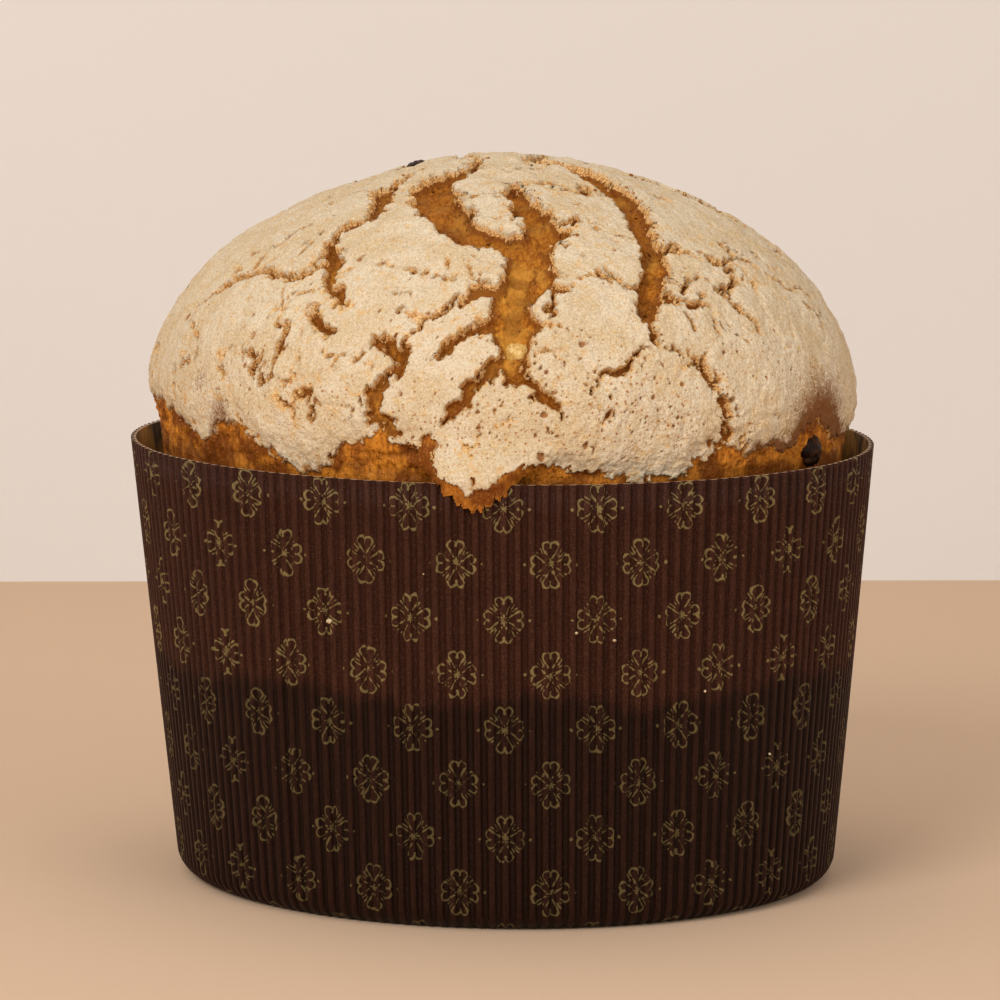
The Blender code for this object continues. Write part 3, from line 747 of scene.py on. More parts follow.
# Pinholes where steam broke through the glaze: how thickly they lie, from spots of azimuth, polar angle and
# their spreads, and the wider ones as ragged pits in the sheet.
PITTED = [(20, 87, 16, 12, 0.95), (-30, 86, 15, 10, 0.55), (-2, 93, 13, 10, 0.75), (44, 76, 9, 13, 0.50),
          (-52, 82, 8, 6, 0.60), (8, 76, 11, 7, 0.50), (150, 84, 30, 12, 0.5), (-130, 86, 26, 12, 0.45)]
pitted = np.full(bed.shape[:2], 0.13)
for pit_azimuth, pit_polar, wide, high, strength in PITTED:
    turn = (sheet_azimuth - pit_azimuth + 180) % 360 - 180
    pitted += strength * np.exp(-((turn / wide) ** 2) - ((sheet_polar - pit_polar) / high) ** 2)
hole = np.zeros(bed.shape[:2])


def pinholes(count, seed, radius):
    """Sinks ragged pits at random places, more where the glaze is more pitted: each lowers the points near
    its middle by one less the square of the distance over the pit's radius."""
    dice = np.random.default_rng(seed)
    place = warped([(0.9 * MM, 0.45 * MM, 84)])
    rows, columns = dice.integers(0, bed.shape[0], 60 * count), dice.integers(0, bed.shape[1], 60 * count)
    chosen = (dice.uniform(0, 1.6, 60 * count) < pitted[rows, columns]) & (sheet_polar[rows, columns] < 108)
    for row, column in list(zip(rows[chosen], columns[chosen]))[:count]:
        size = radius * dice.lognormal(0, 0.35)
        flat = np.array([across[column], along[row]])
        part = window(flat - 4 * size, flat + 4 * size)
        away = (place[part] - bed[row, column]) / size * np.array([1, 1, dice.uniform(0.7, 1.3)])
        hole[part] = np.maximum(hole[part], 1 - (away**2).sum(axis=-1))


pinholes(750, 81, 0.27 * MM)
pinholes(60, 83, 0.45 * MM)
hole = np.clip(hole, 0, 1) * ease(edge, 0.2 * MM, 0.8 * MM)


def shell(outer, inner, keep):
    """Points and faces of a closed sheet from two grids of points: the outside and the inside of the kept
    cells, and a wall along every open edge. Gives the number of each point among both grids' as well."""
    rows, columns = outer.shape[:2]
    index = np.arange(rows * columns).reshape(rows, columns)
    corners = [index[:-1, :-1], index[:-1, 1:], index[1:, 1:], index[1:, :-1]]
    top = np.stack([c[keep] for c in corners], axis=-1)
    padded = np.pad(keep, 1)
    away = rows * columns
    walls = []
    neighbours = [padded[:-2, 1:-1], padded[1:-1, 2:], padded[2:, 1:-1], padded[1:-1, :-2]]
    for side, beyond in enumerate(neighbours):
        open_edge = keep & ~beyond
        start, end = corners[side][open_edge], corners[(side + 1) % 4][open_edge]
        walls.append(np.stack([end, start, start + away, end + away], axis=-1))
    faces = np.concatenate([top, top[:, ::-1] + away, *walls])
    used, faces = np.unique(faces, return_inverse=True)
    points = np.concatenate([outer.reshape(-1, 3), inner.reshape(-1, 3)])[used]
    return points, faces.reshape(-1, 4), used


def shell_piece(name, outer, inner, keep, look, numbers, normal):
    """A closed sheet as a piece, with its outside's normals worked out on the whole grid, so that neighbours
    meet without a crease."""
    points, faces, used = shell(outer, inner, keep)
    size = outer.shape[0] * outer.shape[1]
    normals = np.concatenate([normal.reshape(-1, 3), -normal.reshape(-1, 3)])[used]
    values = {key: np.asarray(value).ravel()[used % size] for key, value in numbers.items()}
    return new_piece(name, points, [faces], look, values, normals)


def cells(mask):
    """Whether any corner of each cell is in the mask."""
    return mask[:-1, :-1] | mask[1:, :-1] | mask[:-1, 1:] | mask[1:, 1:]


# Torn crumb at the bottom of the tears, deeper in wide ones: strands drawn out along the loaf's rise, with
# painted shade in the pores between them. Below the glaze it is the baked crust, with soft folds and a rough
# skin.
deep = np.clip(in_tear, 0, None)
crumb_depth = 1.8 * MM * (1 - np.exp(-deep / (1.3 * MM))) + 0.2 * MM
strand_place = warped([(3 * MM, 0.9 * MM, 90)]) * np.array([1.0, 0.55, 0.45])
strands = np.abs(lumps(strand_place, 1.5 * MM, 91)) + 0.6 * np.abs(lumps(strand_place, 0.8 * MM, 92))
hollows = bed_lumps(4.5, 93)
crumb_relief = (0.85 * MM * (0.42 - strands) + 0.85 * MM * hollows) * ease(deep, 0, 1.0 * MM)
# Painted shade in the pores between strands and in the hollows of the crumb.
painted_pore_shade = ease(strands, 0.20, 0.0) * ease(deep, 0.2 * MM, 0.8 * MM)
painted_pore_shade += 0.55 * ease(hollows, -0.1, -0.6) * ease(deep, 0, 1.2 * MM)
bare = ease(on_glaze, 0.8 * MM, -0.8 * MM)  # 1 on the crust below the glaze
fold_place = warped([(14 * MM, 2.5 * MM, 94)]) * np.array([0.45, 0.45, 1.0])
folds = np.abs(lumps(fold_place, 7.5 * MM, 95))
crease = ease(folds, 0.16, 0.0) * ease(bed_lumps(15, 99), -0.05, 0.45)
ribs = np.abs(lumps(bed * np.array([1.0, 1.0, 0.4]), 2.6 * MM, 127))
skin = np.abs(bed_lumps(1.7, 97)) + 0.6 * np.abs(bed_lumps(0.9, 98))
crust_relief = 0.8 * MM * bed_lumps(8, 96) - 0.6 * MM * crease
crust_relief -= 0.5 * MM * (skin - 0.3) + 0.8 * MM * (ribs - 0.3)
lift = swell + bare * crust_relief + (1 - bare) * (crumb_relief - crumb_depth)
tight = ease(sheet_polar, 117, 111)  # the crust keeps clear of the paper where it goes down inside the case
bulge = crust(sheet_azimuth, sheet_polar, 1.0)
bulge_share = 0.42 * ease(bulge[..., 2], CASE_HEIGHT - 1 * MM, CASE_HEIGHT + 4 * MM)[..., None]
crust_bed = bed + (bulge - bed) * bulge_share
crust_outer = crust_bed + bed_normal * (lift * (0.35 + 0.65 * tight))[..., None]
crust_inner = bed - bed_normal * (3.6 * MM)


def crumb_and_crust():
    """Golden crumb in the tears and brown crust below the glaze, mixed by the share of bare crust. Crumb has
    painted shade in its pores and hollows, under the plates' edges and high on the dome; crust has painted
    shade in its folds, and darkens towards the case, partly singed and partly painted shade."""
    look, tree, shader = new_look("crumb_and_crust", 0.11)
    place = add(tree, "ShaderNodeTexCoord", output=3)
    bare_share, depth, crease_shade, pore_shade, patch = mesh_numbers(tree, "bare", "depth", "crease_shade", "pore_shade", "patch")
    streak = noise(stretched(place, 1.0, 0.7, 0.35), 0.8 * MM, 2, 0.7)
    speck = noise(place, 0.5 * MM, 1, 0.7)
    height = add(tree, "ShaderNodeSeparateXYZ", {0: place}, 2)
    ragged = times_add(patch, 5 * MM, height)
    crumb = layered(
        (0.24, 0.066, 0.0035),
        (streak, 0.30, 0.68, 1.0, (0.50, 0.190, 0.016)),
        (patch, 0.45, 0.95, 0.55, (0.55, 0.260, 0.036)),
    )
    crumb = layered(
        # painted shade in the pores and hollows
        blend(times(pore_shade, 0.85), crumb, (0.12, 0.030, 0.002)),
        # painted shade: crumb darkened high on the dome
        (height, 150 * MM, 172 * MM, 0.45, (0.19, 0.052, 0.004)),
        # painted shade: crumb darkened near the tear's sides, under the plates' edges
        (depth, 0.85, 0.0, 0.80, (0.17, 0.046, 0.004)),
    )
    baked = layered(
        (0.20, 0.050, 0.0030),
        (patch, 0.15, 0.85, 1.0, (0.56, 0.195, 0.018)),
        (streak, 0.60, 0.28, 0.75, (0.14, 0.034, 0.002)),
        (streak, 0.55, 0.80, 0.5, (0.66, 0.300, 0.050)),
        (speck, 0.55, 0.80, 0.5, (0.68, 0.340, 0.080)),
    )
    baked = layered(
        # painted shade in the crust's creases
        blend(times(crease_shade, 0.7), baked, (0.085, 0.020, 0.002)),
        # darker towards the case's rim: partly singed crust, partly painted shade
        (ragged, CASE_HEIGHT + 8 * MM, CASE_HEIGHT + 1 * MM, 0.50, (0.14, 0.036, 0.003)),
    )
    sheen = steps(streak, 0.3, 0.7, (0.66, 0.46))
    finish(shader, blend(bare_share, crumb, baked), sheen, place, 0.4, 1.0, 0.26)
    return look


crumb_look = crumb_and_crust()
patches = ease(bed_lumps(6, 100) + 0.5 * bed_lumps(2.6, 108), -0.8, 0.8)
lighter = 0.22 * np.exp(-(((sheet_azimuth + 27) / 11) ** 2))  # beside the tongue
# Painted shade: the crust is darkened at the far left, where it lies in shade.
far_left_shade = 0.50 * np.exp(-(((sheet_azimuth + 60) / 9) ** 2))  # at the far left
crust_patch = patches + (lighter - far_left_shade) * bare
crust_numbers = {"bare": bare, "depth": ease(deep, 0, 2.4 * MM), "crease_shade": crease * bare, "pore_shade": painted_pore_shade,
                 "patch": crust_patch}
crust_normal = outward(crust_outer)
low_end = 125.5
shown = (smooth_edge < 1.5 * MM) & (edge < 1.1 * MM) & (sheet_polar < low_end)
low_band = cells(shown & (sheet_polar > 88)) & ~cells(sheet_polar >= low_end)
torn = cells(shown & (sheet_polar <= 89.5)) & ~low_band
ahead = np.abs(sheet_azimuth[:-1, :-1]) < 65
for name, keep in (
    ("torn_crumb_front", torn & ahead),
    ("torn_crumb_left", torn & ~ahead & (sheet_azimuth[:-1, :-1] < 0)),
    ("torn_crumb_right", torn & ~ahead & (sheet_azimuth[:-1, :-1] >= 0)),
    ("baked_crust_front", low_band & ahead),
    ("baked_crust_back", low_band & ~ahead),
):
    shell_piece(name, crust_outer, crust_inner, keep, crumb_look, crust_numbers, crust_normal)


def make_loaf_body():
    """The loaf as it stands in the case, under its crust and glaze: a section turned round its middle, wide
    against the liner, drawn in above where it stands free, and domed under the glaze."""
    shoulder_radius, waist_radius = 89.2 * MM, WAIST_RADIUS + 0.9 * MM
    side = [(70 * MM, 1.4 * MM), (79.5 * MM, 3.4 * MM), (81.6 * MM, 7 * MM)]
    for height in np.linspace(12, 84, 10) * MM:
        side.append((case_radius(height) - CASE_WALL - 0.5 * MM, height))
    for height in np.linspace(86, 104, 10) * MM:
        share = ease(height, 82 * MM, WAIST_HEIGHT)
        side.append((shoulder_radius + (waist_radius - shoulder_radius) * share, height))
    side.append((WAIST_RADIUS - 2.5 * MM, 107 * MM))
    azimuth = np.linspace(0, 360, 480, endpoint=False)
    polar = np.linspace(119, 1, 70)
    dome = crust(azimuth[None, :], polar[:, None])
    dome = HEART + (dome - HEART) * 0.96
    radius, height = np.array(side).T[:, :, None]
    a = np.radians(azimuth)
    lean = np.maximum(RIM_CENTRE_X * height / CASE_HEIGHT, LOAF_CENTRE_X)
    flank = round_the_axis(lean, radius, a, height)
    uneven = 0.35 * MM * (lumps(flank, 3 * MM, 98) - lumps(flank, 8 * MM, 99)) * (height > 84 * MM)
    flank = round_the_axis(lean, radius + uneven, a, height)
    points = np.concatenate([flank, dome])
    rows, columns = points.shape[:2]
    numbers = {"bare": np.ones(rows * columns), "patch": np.full(rows * columns, 0.5)}
    faces = capped_faces(rows, columns)
    body = new_piece("loaf_body", points.reshape(-1, 3), faces, crumb_look, numbers)
    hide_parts("loaf")


make_loaf_body()


# ------------------------------------------------------------------ glaze
# Sugar, almond flour and egg white, brushed on thick and baked to a matte cream crust. It is about one and a
# half millimetres thick, pitted with pinholes, toasted brown and crumbling along every torn edge.

GLAZE_THICK = 1.55 * MM
EDGE_DIP = 1.5 * MM  # how far a plate's edge sinks under the crumb
near_tear = ease(in_tear, -5 * MM, 0)
slope = (0.55 + 0.55 * bed_lumps(6, 101) + 0.35 * bed_lumps(2.5, 102)).clip(0.10, 1.6) * MM
by_foot = on_glaze < -in_tear
wide_edge = ease(np.where(by_foot, 2 * MM, tear_width), 0.5 * MM, 1.8 * MM)
slope *= 0.28 + 0.72 * wide_edge
rise = ease(edge, -0.18 * MM, slope)
foot_fade = np.where(by_foot, 0.45 + 0.45 * ease(bed_lumps(14, 128), -0.2, 0.4), 1.0)
thick = GLAZE_THICK + 0.30 * MM * bed_lumps(7, 103) + 0.50 * MM * near_tear * ease(edge, 0, 2.5 * MM)
thick *= 0.40 + 0.60 * ease(on_glaze, 0, 7 * MM)
crumbly = 0.45 * MM * bed_lumps(1.2, 104) * ease(edge, 1.8 * MM, 0.2 * MM) * (0.35 + 0.65 * wide_edge)
fine = (0.12 * bed_lumps(1.4, 105) + 0.10 * bed_lumps(0.85, 106) + 0.26 * bed_lumps(3.4, 107)) * MM
dip = EDGE_DIP * (0.45 + 0.55 * wide_edge) * foot_fade
glaze_lift = swell - dip + (thick + dip) * rise + (crumbly + fine) * rise
glaze_lift -= 1.0 * MM * np.sqrt(hole)
glaze_bed = bed + (bulge - bed) * ease(sheet_polar, 92, 100)[..., None]
glaze_outer = glaze_bed + bed_normal * glaze_lift[..., None]
glaze_inner = glaze_bed - bed_normal * (2.0 * MM)
glaze_normal = outward(glaze_outer)

# Brown stains, where fat and fruit juice soaked up through the glaze: azimuth, polar angle, size, strength
STAINS = [(61, 102, 13, 1.3), (68, 92, 8, 0.45), (-57, 84, 3.5, 0.45), (-51, 90, 4, 0.65), (-51, 99, 5, 0.8),
          (-64, 100, 5, 0.4), (20, 104, 5, 0.3), (14, 84, 5, 0.28), (24, 88, 6, 0.3), (70, 96, 8, 0.30),
          (150, 98, 8, 0.6), (-140, 97, 7, 0.6), (112, 100, 6, 0.5)]
stain = np.zeros(bed.shape[:2])
for stain_azimuth, stain_polar, stain_size, strength in STAINS:
    spot = crust(np.array(float(stain_azimuth)), np.array(float(stain_polar)))
    reach = np.linalg.norm(bed - spot, axis=-1) / (stain_size * MM)
    stain = np.maximum(stain, strength * np.exp(-(reach**2)))
stain = stain + 0.75 * ease(on_glaze, 3.2 * MM, 0) * ease(bed_lumps(11, 109), -0.15, 0.5)
right_foot = ease(sheet_azimuth, 36, 46) * ease(sheet_azimuth, 95, 75)
stain = stain + 0.85 * right_foot * ease(on_glaze, 5 * MM, 0)

# Toast fades in from the edges over a band that is wide in some places and thin in others.
toast_band = (0.65 + 1.1 * bed_lumps(9, 116) + 0.5 * bed_lumps(2, 117)).clip(0.15, 2.2) * MM
toast = ease(edge, slope + toast_band * (0.55 + 0.45 * wide_edge), 0.1 * MM) * (0.85 + 0.15 * wide_edge)


glaze_numbers = {
    "toast": toast,
    "hole": hole,
    "stain": stain,
    "rise": rise,
    "pitting": pitted * (1.05 + 0.8 * bed_lumps(7, 119)),
    "patch": patches,
}


def glaze_plates():
    """Cream glaze, mottled with almond and yellow sugar and speckled brown. Its sides are toasted, with
    painted shade darkening them to their foot, and its pinholes are dark. The finest pinholes are spots in
    cells, one cell in a few."""
    look, tree, shader = new_look("almond_glaze", 0.12)
    place = add(tree, "ShaderNodeTexCoord", output=3)
    toasted, holes, stained, up_side, pitting, patch = mesh_numbers(tree, *glaze_numbers)
    middle = noise(place, 2.4 * MM, 2, 0.65)
    small = noise(place, 0.55 * MM, 1, 0.7)
    cream = blend(patch, (0.575, 0.438, 0.268), (0.630, 0.518, 0.366))
    cream = layered(
        cream,
        (middle, 0.52, 0.72, 0.60, (0.60, 0.365, 0.135)),
        (small, 0.50, 0.76, 0.62, (0.40, 0.235, 0.105)),
        (small, 0.47, 0.22, 0.75, (0.80, 0.715, 0.570)),
    )
    spots = add(tree, "ShaderNodeTexVoronoi", {"Vector": place, "Scale": 1 / (1.25 * MM)}).node
    chance = add(tree, "ShaderNodeSeparateColor", {0: spots.outputs["Color"]})
    size = times_add(chance, 0.20, times_add(small, -0.75, 0.46))
    dot = steps(calc("SUBTRACT", spots.outputs["Distance"], size), 0.08, -0.06)
    dot = times(dot, calc("LESS_THAN", chance, pitting))
    dark = calc("MAXIMUM", steps(holes, 0.02, 0.35), dot)
    crumbs = steps(small, 0.36, 0.62)
    edge_colour = blend(crumbs, (0.47, 0.205, 0.046), (0.75, 0.500, 0.225))
    edge_share = steps(times_add(middle, 0.9, toasted), 0.70, 1.30, (0.0, 0.85))
    colour = blend(edge_share, cream, edge_colour)
    soak = times_add(small, 0.55, times_add(middle, 0.55, stained))
    colour = layered(colour, (soak, 0.68, 1.42, 0.94, (0.165, 0.052, 0.008)))
    colour = blend(times(dark, 0.85), colour, (0.33, 0.125, 0.024))
    ragged = times_add(small, 0.9, up_side)
    side_colour = blend(crumbs, (0.45, 0.190, 0.036), (0.77, 0.470, 0.190))
    # Painted shade: the foot of each plate's torn side is darkened.
    wall_foot_shade = (0.23, 0.070, 0.007)
    colour = layered(colour, (ragged, 1.35, 1.00, 0.92, side_colour), (ragged, 1.02, 0.58, 0.95, wall_foot_shade))
    finish(shader, colour, 0.86, place, 0.33, 0.95, 0.24)
    return look


def side_of(border):
    """Whether each point of the sheet lies to the right of a border from the crown to the glaze's foot, by
    its azimuth against the border's at the same polar angle."""
    azimuth, polar = smooth_route(border).T[:2]
    order = np.maximum.accumulate(polar)
    line = np.interp(sheet_polar, order + np.arange(len(order)) * 1e-6, azimuth)
    return (sheet_azimuth - line + 540) % 360 - 180 > 0


# The glaze is made in parts that meet along its tears. A part lies between two azimuths and to the right of
# a border, given by azimuths and polar angles from the crown down, as far as the next part's border.
BACK_BORDER = BACK_TEARS[1][2:] + [(162, 130, 0)]
BACK_LEFT_BORDER = BACK_TEARS[0][2:] + [(-125, 130, 0)]
GLAZE_PARTS = [
    ("glaze_left", -135, 0, [
        (-104, 12), (-104, 24), (-112, 33), (-106, 42), (-104, 50), (-96, 55), (-92, 64), (-97, 71),
        (-95, 79), (-97, 88), (-93, 97), (-93, 130)]),
    ("glaze_front_left", -100, 20, [
        (-62, 12), (-50, 30), (-43, 35), (-39, 40), (-44, 44), (-42, 49), (-41, 53), (-44, 57), (-57, 58),
        (-63, 61), (-70, 70), (-65, 73), (-60, 78), (-67, 83), (-68, 93), (-68, 130)]),
    ("glaze_front_right", -60, 60, [
        (-40, 8), (-27, 16), (-33, 26), (-27, 31), (-13, 40), (4, 48), (4.2, 55), (1.5, 65), (0.5, 75),
        (-4, 80), (-8, 86), (-11.5, 98), (-12, 130)]),
    ("glaze_right", 10, 181, [
        (30, 9), (54, 19), (47, 29), (38, 41), (34, 50), (28, 59), (26, 70), (34, 77), (38, 89), (37, 104),
        (37, 130)]),
    ("glaze_back_right", 60, 181, [
        (100, 9), (88, 20), (93, 30), (86, 40), (90, 49), (84, 58), (88, 66), (95, 74), (92, 83), (97, 92),
        (94, 101), (94, 130)]),
    ("glaze_back", 100, 181, BACK_BORDER),
    ("glaze_back_left", 181, 181, BACK_LEFT_BORDER),  # what the others leave
]
part = np.full(bed.shape[:2], len(GLAZE_PARTS) - 1)
for number, (_, start, end, border) in enumerate(GLAZE_PARTS):
    part[side_of(border) & (sheet_azimuth > start) & (sheet_azimuth < end)] = number
# Past the half turn, the part at the back runs on as far as the back left border.
part[(sheet_azimuth < -90) & ~side_of(BACK_LEFT_BORDER)] = len(GLAZE_PARTS) - 2

glaze_look = glaze_plates()
glazed = cells((edge > -0.75 * MM) & (sheet_polar < 125))
for number, (name, *_) in enumerate(GLAZE_PARTS):
    keep = glazed & (part[:-1, :-1] == number)
    shell_piece(name, glaze_outer, glaze_inner, keep, glaze_look, glaze_numbers, glaze_normal)


# ------------------------------------------------------------------ tongue of crust
# At the front a strip of dough ran out under the glaze, over the case's rim, and baked there to a thin brown
# flap with a torn fringe.

# Polar angle, and the half-width there in degrees, from the tip up
TONGUE_OUTLINE = [(129, 0.0), (127.5, 1.0), (125, 2.6), (122, 4.0), (119, 5.2), (116, 6.2), (113, 7.0),
                  (109, 8.0), (100, 9.0), (94, 9.5)]


def make_tongue(look):
    """The sheet's points within a half-width that shrinks to the tip, lifted off the swollen crust, with a
    saw-toothed fringe."""
    polar, half = np.array(TONGUE_OUTLINE[::-1]).T
    half_width = np.interp(sheet_polar, polar, half)
    teeth = 1.5 * np.abs(((sheet_azimuth * 0.8 + 0.6 * bed_lumps(3, 111)) % 1.0) - 0.5) * 2
    off = np.abs(sheet_azimuth - (TONGUE_AZIMUTH + 0.2)) - half_width
    inside = -off - teeth * ease(sheet_polar, 111, 115) - 0.5 * bed_lumps(1.3, 112)
    keep = cells((inside > 0) & (sheet_polar > 94))
    rough = 0.35 * MM * bed_lumps(1.8, 113) + 0.3 * MM * bed_lumps(4, 114)
    thin = ease(inside, 0, 1.2)
    outer = bulge + bed_normal * (-0.55 * MM + rough + 0.35 * MM * thin)[..., None]
    inner = bulge - bed_normal * ((1.0 + 1.3 * thin) * MM)[..., None]
    # Painted shade of creases, in random patches over the tongue's crust.
    tongue_crease_shade = 0.5 * ease(bed_lumps(2, 115), 0.2, 0.8)
    numbers = {"bare": np.ones(bed.shape[:2]), "crease_shade": tongue_crease_shade, "patch": patches}
    shell_piece("crust_tongue", outer, inner, keep, look, numbers, outward(outer))


make_tongue(crumb_look)


# ------------------------------------------------------------------ fruit
# Two raisins, wrinkled and nearly black, and a cube of candied peel, sticky and clear, stand in the crust.


def make_fruit(name, node, look, roundness, wrinkle, seed, shift):
    """A sphere in the shape of its solid's box, moved by some millimetres. Each coordinate is raised to the
    roundness, which squares it below one, and wrinkles are folds of noise pressed in along its length."""
    low, high = (np.array(c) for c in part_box(node))
    turn, tilt = np.linspace(0, 2 * np.pi, 96, endpoint=False), np.linspace(-np.pi / 2, np.pi / 2, 50)
    around, up = np.meshgrid(turn, tilt)
    unit = np.stack([np.cos(up) * np.cos(around), np.cos(up) * np.sin(around), np.sin(up)], axis=-1)
    form = np.sign(unit) * np.abs(unit) ** roundness
    folds = np.abs(lumps(unit * np.array([1.0, 1.0, 0.45]), 0.34, seed)) ** 0.7
    press = 1 - wrinkle * (1 - folds) - 0.03 * lumps(unit, 0.2, seed + 1)
    points = (low + high) / 2 + np.array(shift) * MM + form * (high - low) / 2 * press[..., None]
    rings, columns = len(points) - 2, points.shape[1]
    foot, top = rings * columns, rings * columns + 1
    first = np.arange(columns)
    last = first + (rings - 1) * columns
    fans = [
        np.stack([np.full(columns, foot), np.roll(first, -1), first], axis=-1),
        np.stack([np.full(columns, top), last, np.roll(last, -1)], axis=-1),
    ]
    poles = [points[0].mean(axis=0)[None], points[-1].mean(axis=0)[None]]
    points = np.concatenate([points[1:-1].reshape(-1, 3), *poles])
    fruit = new_piece(name, points, [ring_faces(rings, columns), *fans], look)
    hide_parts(node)


def raisin_skin():
    """Nearly black skin with a browner bloom in patches, which are a little duller."""
    look, tree, shader = new_look("raisin_skin", 0.09)
    place = add(tree, "ShaderNodeTexCoord", output=3)
    patch = noise(place, 2.2 * MM, 3)
    colour = blend(steps(patch, 0.35, 0.7), (0.010, 0.004, 0.002), (0.048, 0.017, 0.007))
    finish(shader, colour, steps(patch, 0.3, 0.7, (0.38, 0.60)), place, 0.4, 1.2, 0.12)
    return look


def peel_flesh():
    """Clear yellow flesh that lets some light in, glossy with syrup."""
    look, tree, shader = new_look("candied_peel", 0.5)
    place = add(tree, "ShaderNodeTexCoord", output=3)
    colour = blend(steps(noise(place, 1.6 * MM, 3), 0.3, 0.7), (0.46, 0.250, 0.045), (0.64, 0.440, 0.150))
    shader.inputs["Subsurface Weight"].default_value = 0.3
    shader.inputs["Subsurface Radius"].default_value = (1.0, 0.7, 0.3)
    shader.inputs["Subsurface Scale"].default_value = 2.0 * MM
    finish(shader, colour, 0.32, place, 0.5, 1.5, 0.08)
    return look


raisin_look = raisin_skin()
make_fruit("raisin_at_rim", "side_raisin", raisin_look, 0.9, 0.15, 121, (-0.7, 0.35, -0.4))
make_fruit("raisin_at_crown", "crown_raisin", raisin_look, 1.0, 0.16, 123, (0.4, -0.2, -1.0))
make_fruit("peel_cube", "candied_peel", peel_flesh(), 0.78, 0.16, 125, (0, 1.1, -0.6))


# ------------------------------------------------------------------ crumbs
# Toasted crumbs of glaze hang along the torn edges, and a few have fallen on the case.


def granules(name, middles, sizes, seed, numbers):
    """Rough grains of glaze as one mesh: each is a ball of twelve points, moved in or out at random, with the
    twenty triangles of an icosahedron."""
    dice = np.random.default_rng(seed)
    golden = (1 + 5**0.5) / 2
    ball = np.array([(0, a, b * golden) for a in (-1, 1) for b in (-1, 1)])
    ball = np.concatenate([np.roll(ball, k, axis=1) for k in range(3)]) / np.hypot(1, golden)
    spacing = np.linalg.norm(ball[:, None] - ball[None], axis=-1)
    side = spacing[spacing > 0.1].min() * 1.05
    trios = [
        (i, j, k) if np.dot(np.cross(ball[j] - ball[i], ball[k] - ball[i]), ball[i]) > 0 else (i, k, j)
        for i in range(12)
        for j in range(i + 1, 12)
        for k in range(j + 1, 12)
        if max(spacing[i, j], spacing[j, k], spacing[i, k]) < side
    ]
    count = len(middles)
    stretch = dice.uniform(0.65, 1.25, (count, 1, 3)) * dice.uniform(0.75, 1.15, (count, 12, 1))
    points = middles[:, None] + ball[None] * stretch * sizes[:, None, None]
    faces = np.array(trios)[None] + 12 * np.arange(count)[:, None, None]
    values = {key: np.repeat(value, 12) for key, value in numbers.items()}
    new_piece(name, points.reshape(-1, 3), [faces.reshape(-1, 3)], glaze_look, values)


def edge_crumbs():
    """Grains at random points of the sheet that lie close to a torn edge of the glaze."""
    dice = np.random.default_rng(131)
    close = (edge > -0.8 * MM) & (edge < 0.9 * MM) & (in_tear > -3 * MM) & (tear_width > 1.3 * MM)
    close = np.argwhere(close & (sheet_polar < 112))
    picked = close[dice.choice(len(close), min(800, len(close)), replace=False)]
    rows, columns = picked.T
    sizes = 0.24 * MM * dice.lognormal(0, 0.35, len(picked))
    layers = (glaze_outer, crust_outer, bed)
    glaze_out, crust_out, bed_out = ((layer * bed_normal).sum(-1) for layer in layers)
    surface = np.maximum(glaze_out, crust_out) - bed_out
    middles = bed[rows, columns] + bed_normal[rows, columns] * (surface[rows, columns] + 0.1 * MM)[:, None]
    values = {"toast": dice.uniform(0.5, 1.0, len(picked)), "rise": dice.uniform(0.05, 0.4, len(picked))}
    granules("edge_crumbs", middles, sizes, 132, values)


def fallen_crumbs():
    """A few grains caught between the flutes of the case, at listed heights and azimuths."""
    spots = [(-27.5, 75, 0.7), (17, 72, 0.55), (11, 74, 0.4), (33, 58, 0.35), (-12, 88, 0.35), (48, 40, 0.4),
             (140, 66, 0.6), (-120, 52, 0.5), (95, 80, 0.45)]
    azimuth, height, size = np.array(spots).T
    height = height * MM
    lean = RIM_CENTRE_X * height / CASE_HEIGHT
    middles = round_the_axis(lean, case_radius(height), np.radians(azimuth), height)
    granules("fallen_crumbs", middles, size * MM, 133, {"rise": np.ones(len(spots))})


edge_crumbs()
fallen_crumbs()


# ------------------------------------------------------------------ stage
# A plain pale table and wall, soft light from the front left and above, and a long lens at table height.

TABLE_DEPTH = 0.504
WALL_TURN = 0.084  # how far the wall goes back for each metre to the right
CAMERA_PLACE = (-2.53 * MM, -1460.4 * MM, 286.4 * MM)
CAMERA_DOWN = 7.5  # degrees below level
CAMERA_ROLL = 0.01075  # radians
FOCAL_LENGTH = 209.8
WORLD_LIGHT = ((1.0, 0.96, 0.92, 1), 0.57)


def plain(name, colour):
    look, _, shader = new_look(name, 0.1)
    shader.inputs["Base Color"].default_value = (*colour, 1)
    shader.inputs["Roughness"].default_value = 0.9
    return look


def seen_from_front(look):
    """Clears a surface's back, so that the loaf can be seen from behind the wall."""
    tree = look.node_tree
    front = calc("SUBTRACT", 1.0, add(tree, "ShaderNodeNewGeometry", output="Backfacing"))
    tree.links.new(front, tree.nodes["Principled BSDF"].inputs["Alpha"])
    return look


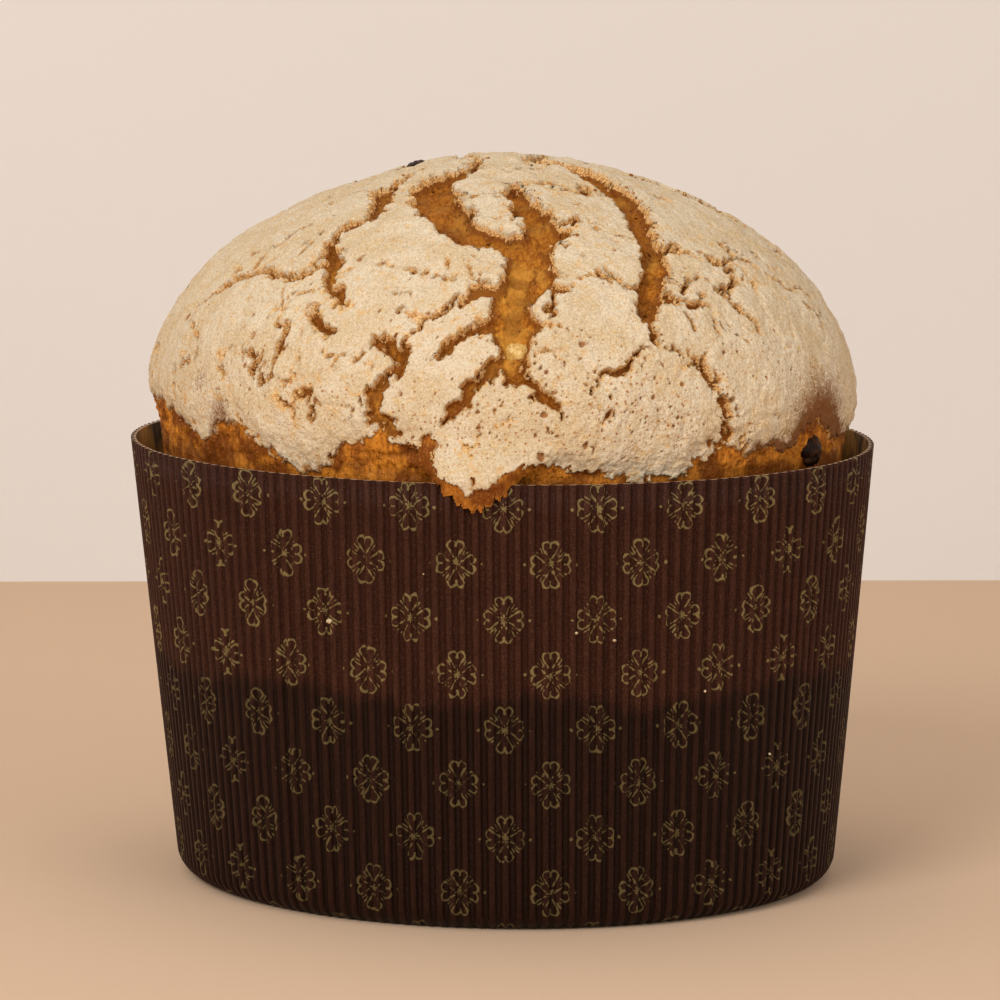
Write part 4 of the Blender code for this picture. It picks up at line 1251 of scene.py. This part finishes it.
def stage_plane(name, corners, look):
    mesh = bpy.data.meshes.new(name)
    mesh.from_pydata(corners, [], [(0, 1, 2, 3)])
    mesh.materials.append(look)
    plane = bpy.data.objects.new(name, mesh)
    bpy.context.scene.collection.objects.link(plane)


def area_light(name, place, size, power, colour):
    """A round lamp at a place, turned to the middle of the loaf."""
    data = bpy.data.lights.new(name, "AREA")
    data.shape = "DISK"
    data.size = size
    data.energy = power
    data.color = colour
    lamp = bpy.data.objects.new(name, data)
    lamp.location = place
    lamp.rotation_euler = (Vector((0, 0, 0.1)) - Vector(place)).to_track_quat("-Z", "Y").to_euler()
    bpy.context.scene.collection.objects.link(lamp)


REACH = 4.0  # how far the table and the wall go each way
left, right = TABLE_DEPTH - REACH * WALL_TURN, TABLE_DEPTH + REACH * WALL_TURN
table_corners = [(-REACH, -REACH, 0), (REACH, -REACH, 0), (REACH, REACH, 0), (-REACH, REACH, 0)]
wall_corners = [(-REACH, left, 0), (REACH, right, 0), (REACH, right, REACH), (-REACH, left, REACH)]
stage_plane("table", table_corners, plain("table_peach", (0.62, 0.44, 0.305)))
stage_plane("wall", wall_corners, seen_from_front(plain("wall_pale", (0.71, 0.675, 0.645))))
area_light("key", (-0.80, -1.50, 1.05), 1.0, 24.5, (1.0, 0.965, 0.92))
area_light("fill", (1.2, -1.5, 0.7), 1.6, 11.5, (1.0, 0.955, 0.91))
area_light("top", (-0.1, 0.2, 1.7), 1.4, 4, (1.0, 0.97, 0.94))
world = bpy.data.worlds.new("studio")
world.use_nodes = True
sky = world.node_tree.nodes["Background"].inputs
sky[0].default_value, sky[1].default_value = WORLD_LIGHT
bpy.context.scene.world = world
bpy.context.scene.view_settings.view_transform = "Standard"

lens = bpy.data.cameras.new("camera")
lens.lens = FOCAL_LENGTH
lens.sensor_width = 36
camera = bpy.data.objects.new("camera", lens)
camera.location = CAMERA_PLACE
camera.rotation_mode = "XYZ"
camera.rotation_euler = (math.radians(90 - CAMERA_DOWN), 0, 0)
camera.rotation_euler.rotate_axis("Z", CAMERA_ROLL)
bpy.context.scene.collection.objects.link(camera)
bpy.context.scene.camera = camera
